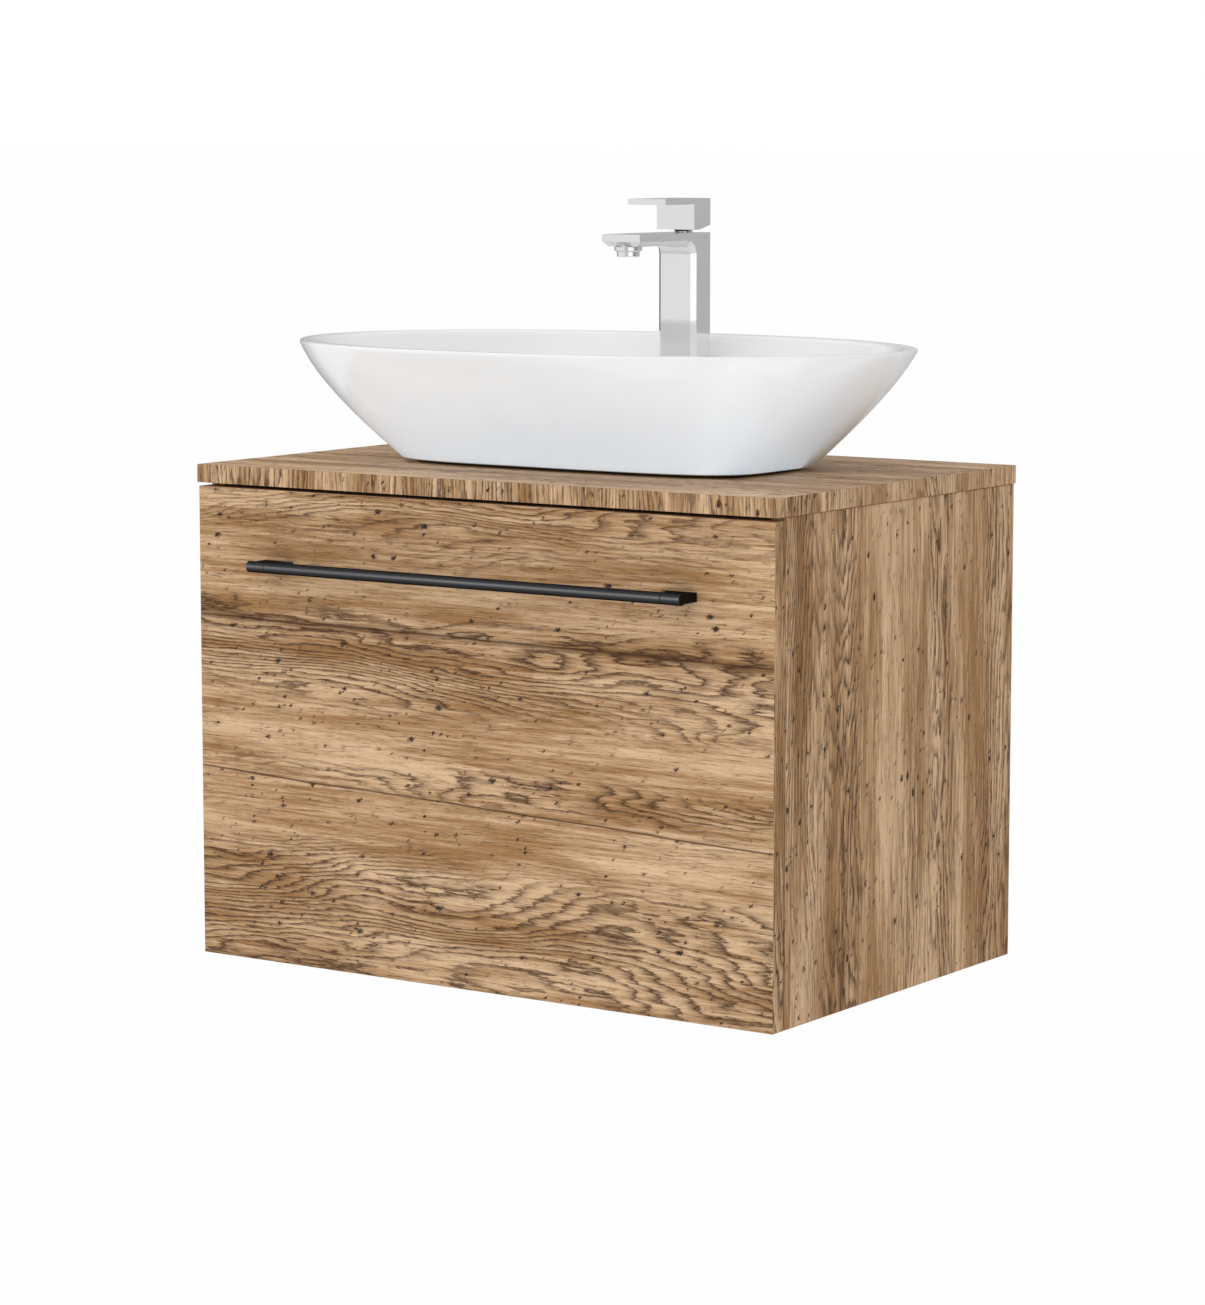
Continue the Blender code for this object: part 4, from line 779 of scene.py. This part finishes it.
def small_parts():
    for side in ("left", "right"):
        refined("handle_screw_" + side, "zinc", 0.0002)
    tap_body()
    aerator()
    dome()
    refined("tap_lever", "chrome", 0.0004)
    refined("tap_base_plate", "chrome", 0.0004)
    refined("tap_gasket", "rubber", 0.0001)
    for node in ("tap_stud", "tap_horseshoe_washer", "lever_set_screw", "lever_stem"):
        refined(node, "zinc", 0.0002)
    refined("tap_cartridge_nut", "chrome", 0.0002)
    for node in ("tap_nut", "waste_nut"):
        refined(node, "brass", 0.0002)
    for node in ("tap_cartridge", "waste_click", "trap_dip_tube"):
        refined(node, "plastic", 0.0002)
    refined("aerator_insert", "grey", 0.0001)
    for node in ("waste_body", "waste_plug", "trap_inlet_nut", "trap_head",
                 "trap_cup", "trap_outlet_nut", "trap_outlet_pipe", "wall_rosette"):
        refined(node, "chrome", 0.0003)
    for node in ("waste_seal_upper", "waste_seal_lower"):
        refined(node, "rubber", 0.0003)


# ---------------------------------------------------------------- studio


# Direction that most soft light comes from, and how light the surround is: (share, level), where
# the share is 1 towards that direction and 0 away from it.
KEY_DIRECTION = (-0.42, -0.74, 0.52)
SURROUND = [(0.0, 0.50), (0.35, 0.66), (0.65, 0.92), (1.0, 1.24)]
# What polished metal sees around it, as (share of a turn, level): 0 and 1 are behind, 0.25 is
# on the left, 0.5 in front and 0.75 on the right.
PANELS = [
    (0.0, 0.46), (0.09, 0.50), (0.125, 0.10), (0.18, 0.10), (0.215, 0.72), (0.33, 0.90),
    (0.47, 0.90), (0.54, 0.62), (0.585, 0.66), (0.605, 1.30), (0.70, 1.30), (0.725, 0.55),
    (0.79, 0.22), (0.83, 0.50), (0.92, 0.54), (1.0, 0.46),
]
CEILING = (0.94, 0.94, 0.94)
FLOOR_REACH = 300.0
FLOOR_Z = -1.3


def reflected(g, direction):
    """What polished metal sees around it: pale panels in front, and darker gaps and back."""
    x, y, z = g.split(direction)
    turn = g.math("ARCTAN2", x, g.math("MULTIPLY", y, -1.0))
    share = g.math("MULTIPLY_ADD", turn, 0.5 / math.pi, 0.5)
    around = g.ramp(share, PANELS)
    length = g.node("ShaderNodeVectorMath", operation="LENGTH")
    g.feed(length.inputs[0], direction)
    up = g.math("DIVIDE", z, length.outputs["Value"])
    return g.mix(g.step(up, 0.35, 0.75), around, CEILING)


def studio():
    """Soft bright surround, and a pale floor far below."""
    world = bpy.data.worlds.new("studio")
    world.use_nodes = True
    SCENE.world = world
    g = Graph(world.node_tree)
    background = world.node_tree.nodes["Background"]
    direction = g.node("ShaderNodeTexCoord").outputs["Generated"]
    key = g.vector("DOT_PRODUCT", direction, KEY_DIRECTION)
    level = g.ramp(g.math("MULTIPLY_ADD", key, 0.5, 0.5), SURROUND)
    rays = g.node("ShaderNodeLightPath").outputs
    level = g.mix(rays["Is Glossy Ray"], level, reflected(g, direction))
    g.feed(background.inputs["Color"], g.mix(rays["Is Camera Ray"], level, (1.0, 1.0, 1.0)))
    background.inputs["Strength"].default_value = 1.0

    floor_mesh = bpy.data.meshes.new("floor_mesh")
    corners = [(x * FLOOR_REACH, y * FLOOR_REACH, FLOOR_Z)
               for x, y in ((-1, -1), (1, -1), (1, 1), (-1, 1))]
    floor_mesh.from_pydata(corners, [], [(0, 1, 2, 3)])
    floor = bpy.data.objects.new("floor", floor_mesh)
    SCENE.collection.objects.link(floor)
    material, g, shader, place = new_material("pale_floor", Roughness=0.9)
    tone = g.noise(place, (0.7, 0.7, 0.7), 2.0)
    g.feed(shader.inputs["Base Color"], g.mix(tone, (0.955, 0.955, 0.955), (0.965, 0.965, 0.965)))
    # Seen directly the floor is white, and polished metal sees the panels in it.
    rays = g.node("ShaderNodeLightPath").outputs
    glow = g.node("ShaderNodeEmission")
    g.feed(glow.inputs["Color"], g.mix(rays["Is Camera Ray"], reflected(g, place), (0.99, 0.99, 0.99)))
    direct = g.math("MAXIMUM", rays["Is Camera Ray"], rays["Is Glossy Ray"])
    choice = g.node("ShaderNodeMixShader")
    g.feed(choice.inputs[0], direct)
    g.feed(choice.inputs[1], shader.outputs[0])
    g.feed(choice.inputs[2], glow.outputs[0])
    g.feed(material.node_tree.nodes["Material Output"].inputs["Surface"], choice.outputs[0])
    floor_mesh.materials.append(material)


def lamp_for(pieces, data, direction, place=(0.0, 0.0, 0.0)):
    """A lamp that shines from a direction on the given pieces alone."""
    lit = bpy.data.collections.new(data.name + "_lit")
    for piece in pieces:
        lit.objects.link(piece)
    lamp = bpy.data.objects.new(data.name, data)
    SCENE.collection.objects.link(lamp)
    lamp.location = place
    lamp.rotation_euler = Vector(direction).to_track_quat("Z", "Y").to_euler()
    lamp.visible_camera = False
    lamp.visible_glossy = data.specular_factor > 0
    lamp.light_linking.receiver_collection = lit
    lamp.light_linking.blocker_collection = lit


def fills(glazed, bars):
    """Neutral light that keeps the glaze white over the brown board, and a sheen on the handle."""
    sun = bpy.data.lights.new("front_fill", "SUN")
    sun.energy = 0.87
    sun.angle = math.radians(60)
    board = bpy.data.lights.new("board_fill", "AREA")
    board.shape = "RECTANGLE"
    board.size, board.size_y = 0.56, 0.22
    board.energy = 0.24
    sun.color, board.color = (0.88, 0.975, 1.0), (0.57, 0.80, 1.0)
    sun.specular_factor = board.specular_factor = 0.0
    sheen = bpy.data.lights.new("bar_sheen", "SUN")
    sheen.energy = 2.6
    sheen.angle = math.radians(30)
    lamp_for([glazed], sun, (-0.35, -0.65, -0.55))
    lamp_for([glazed], board, (0, 0, -1), (0.02, -0.28, TOP_Z + 0.0035))
    lamp_for(bars, sheen, (-0.585, -0.80, 0.11))


def camera():
    data = bpy.data.cameras.new("camera")
    data.lens = CAMERA_LENS
    data.sensor_width = SENSOR
    obj = bpy.data.objects.new("camera", data)
    SCENE.collection.objects.link(obj)
    obj.location = CAMERA_PLACE
    obj.rotation_euler = (math.radians(90 - CAMERA_PITCH), 0, math.radians(CAMERA_YAW))
    SCENE.camera = obj


SCENE.view_settings.view_transform = "Standard"
camera()
studio()
fills(basin(), handle())
cabinet()
small_parts()

bpy.context.view_layer.update()
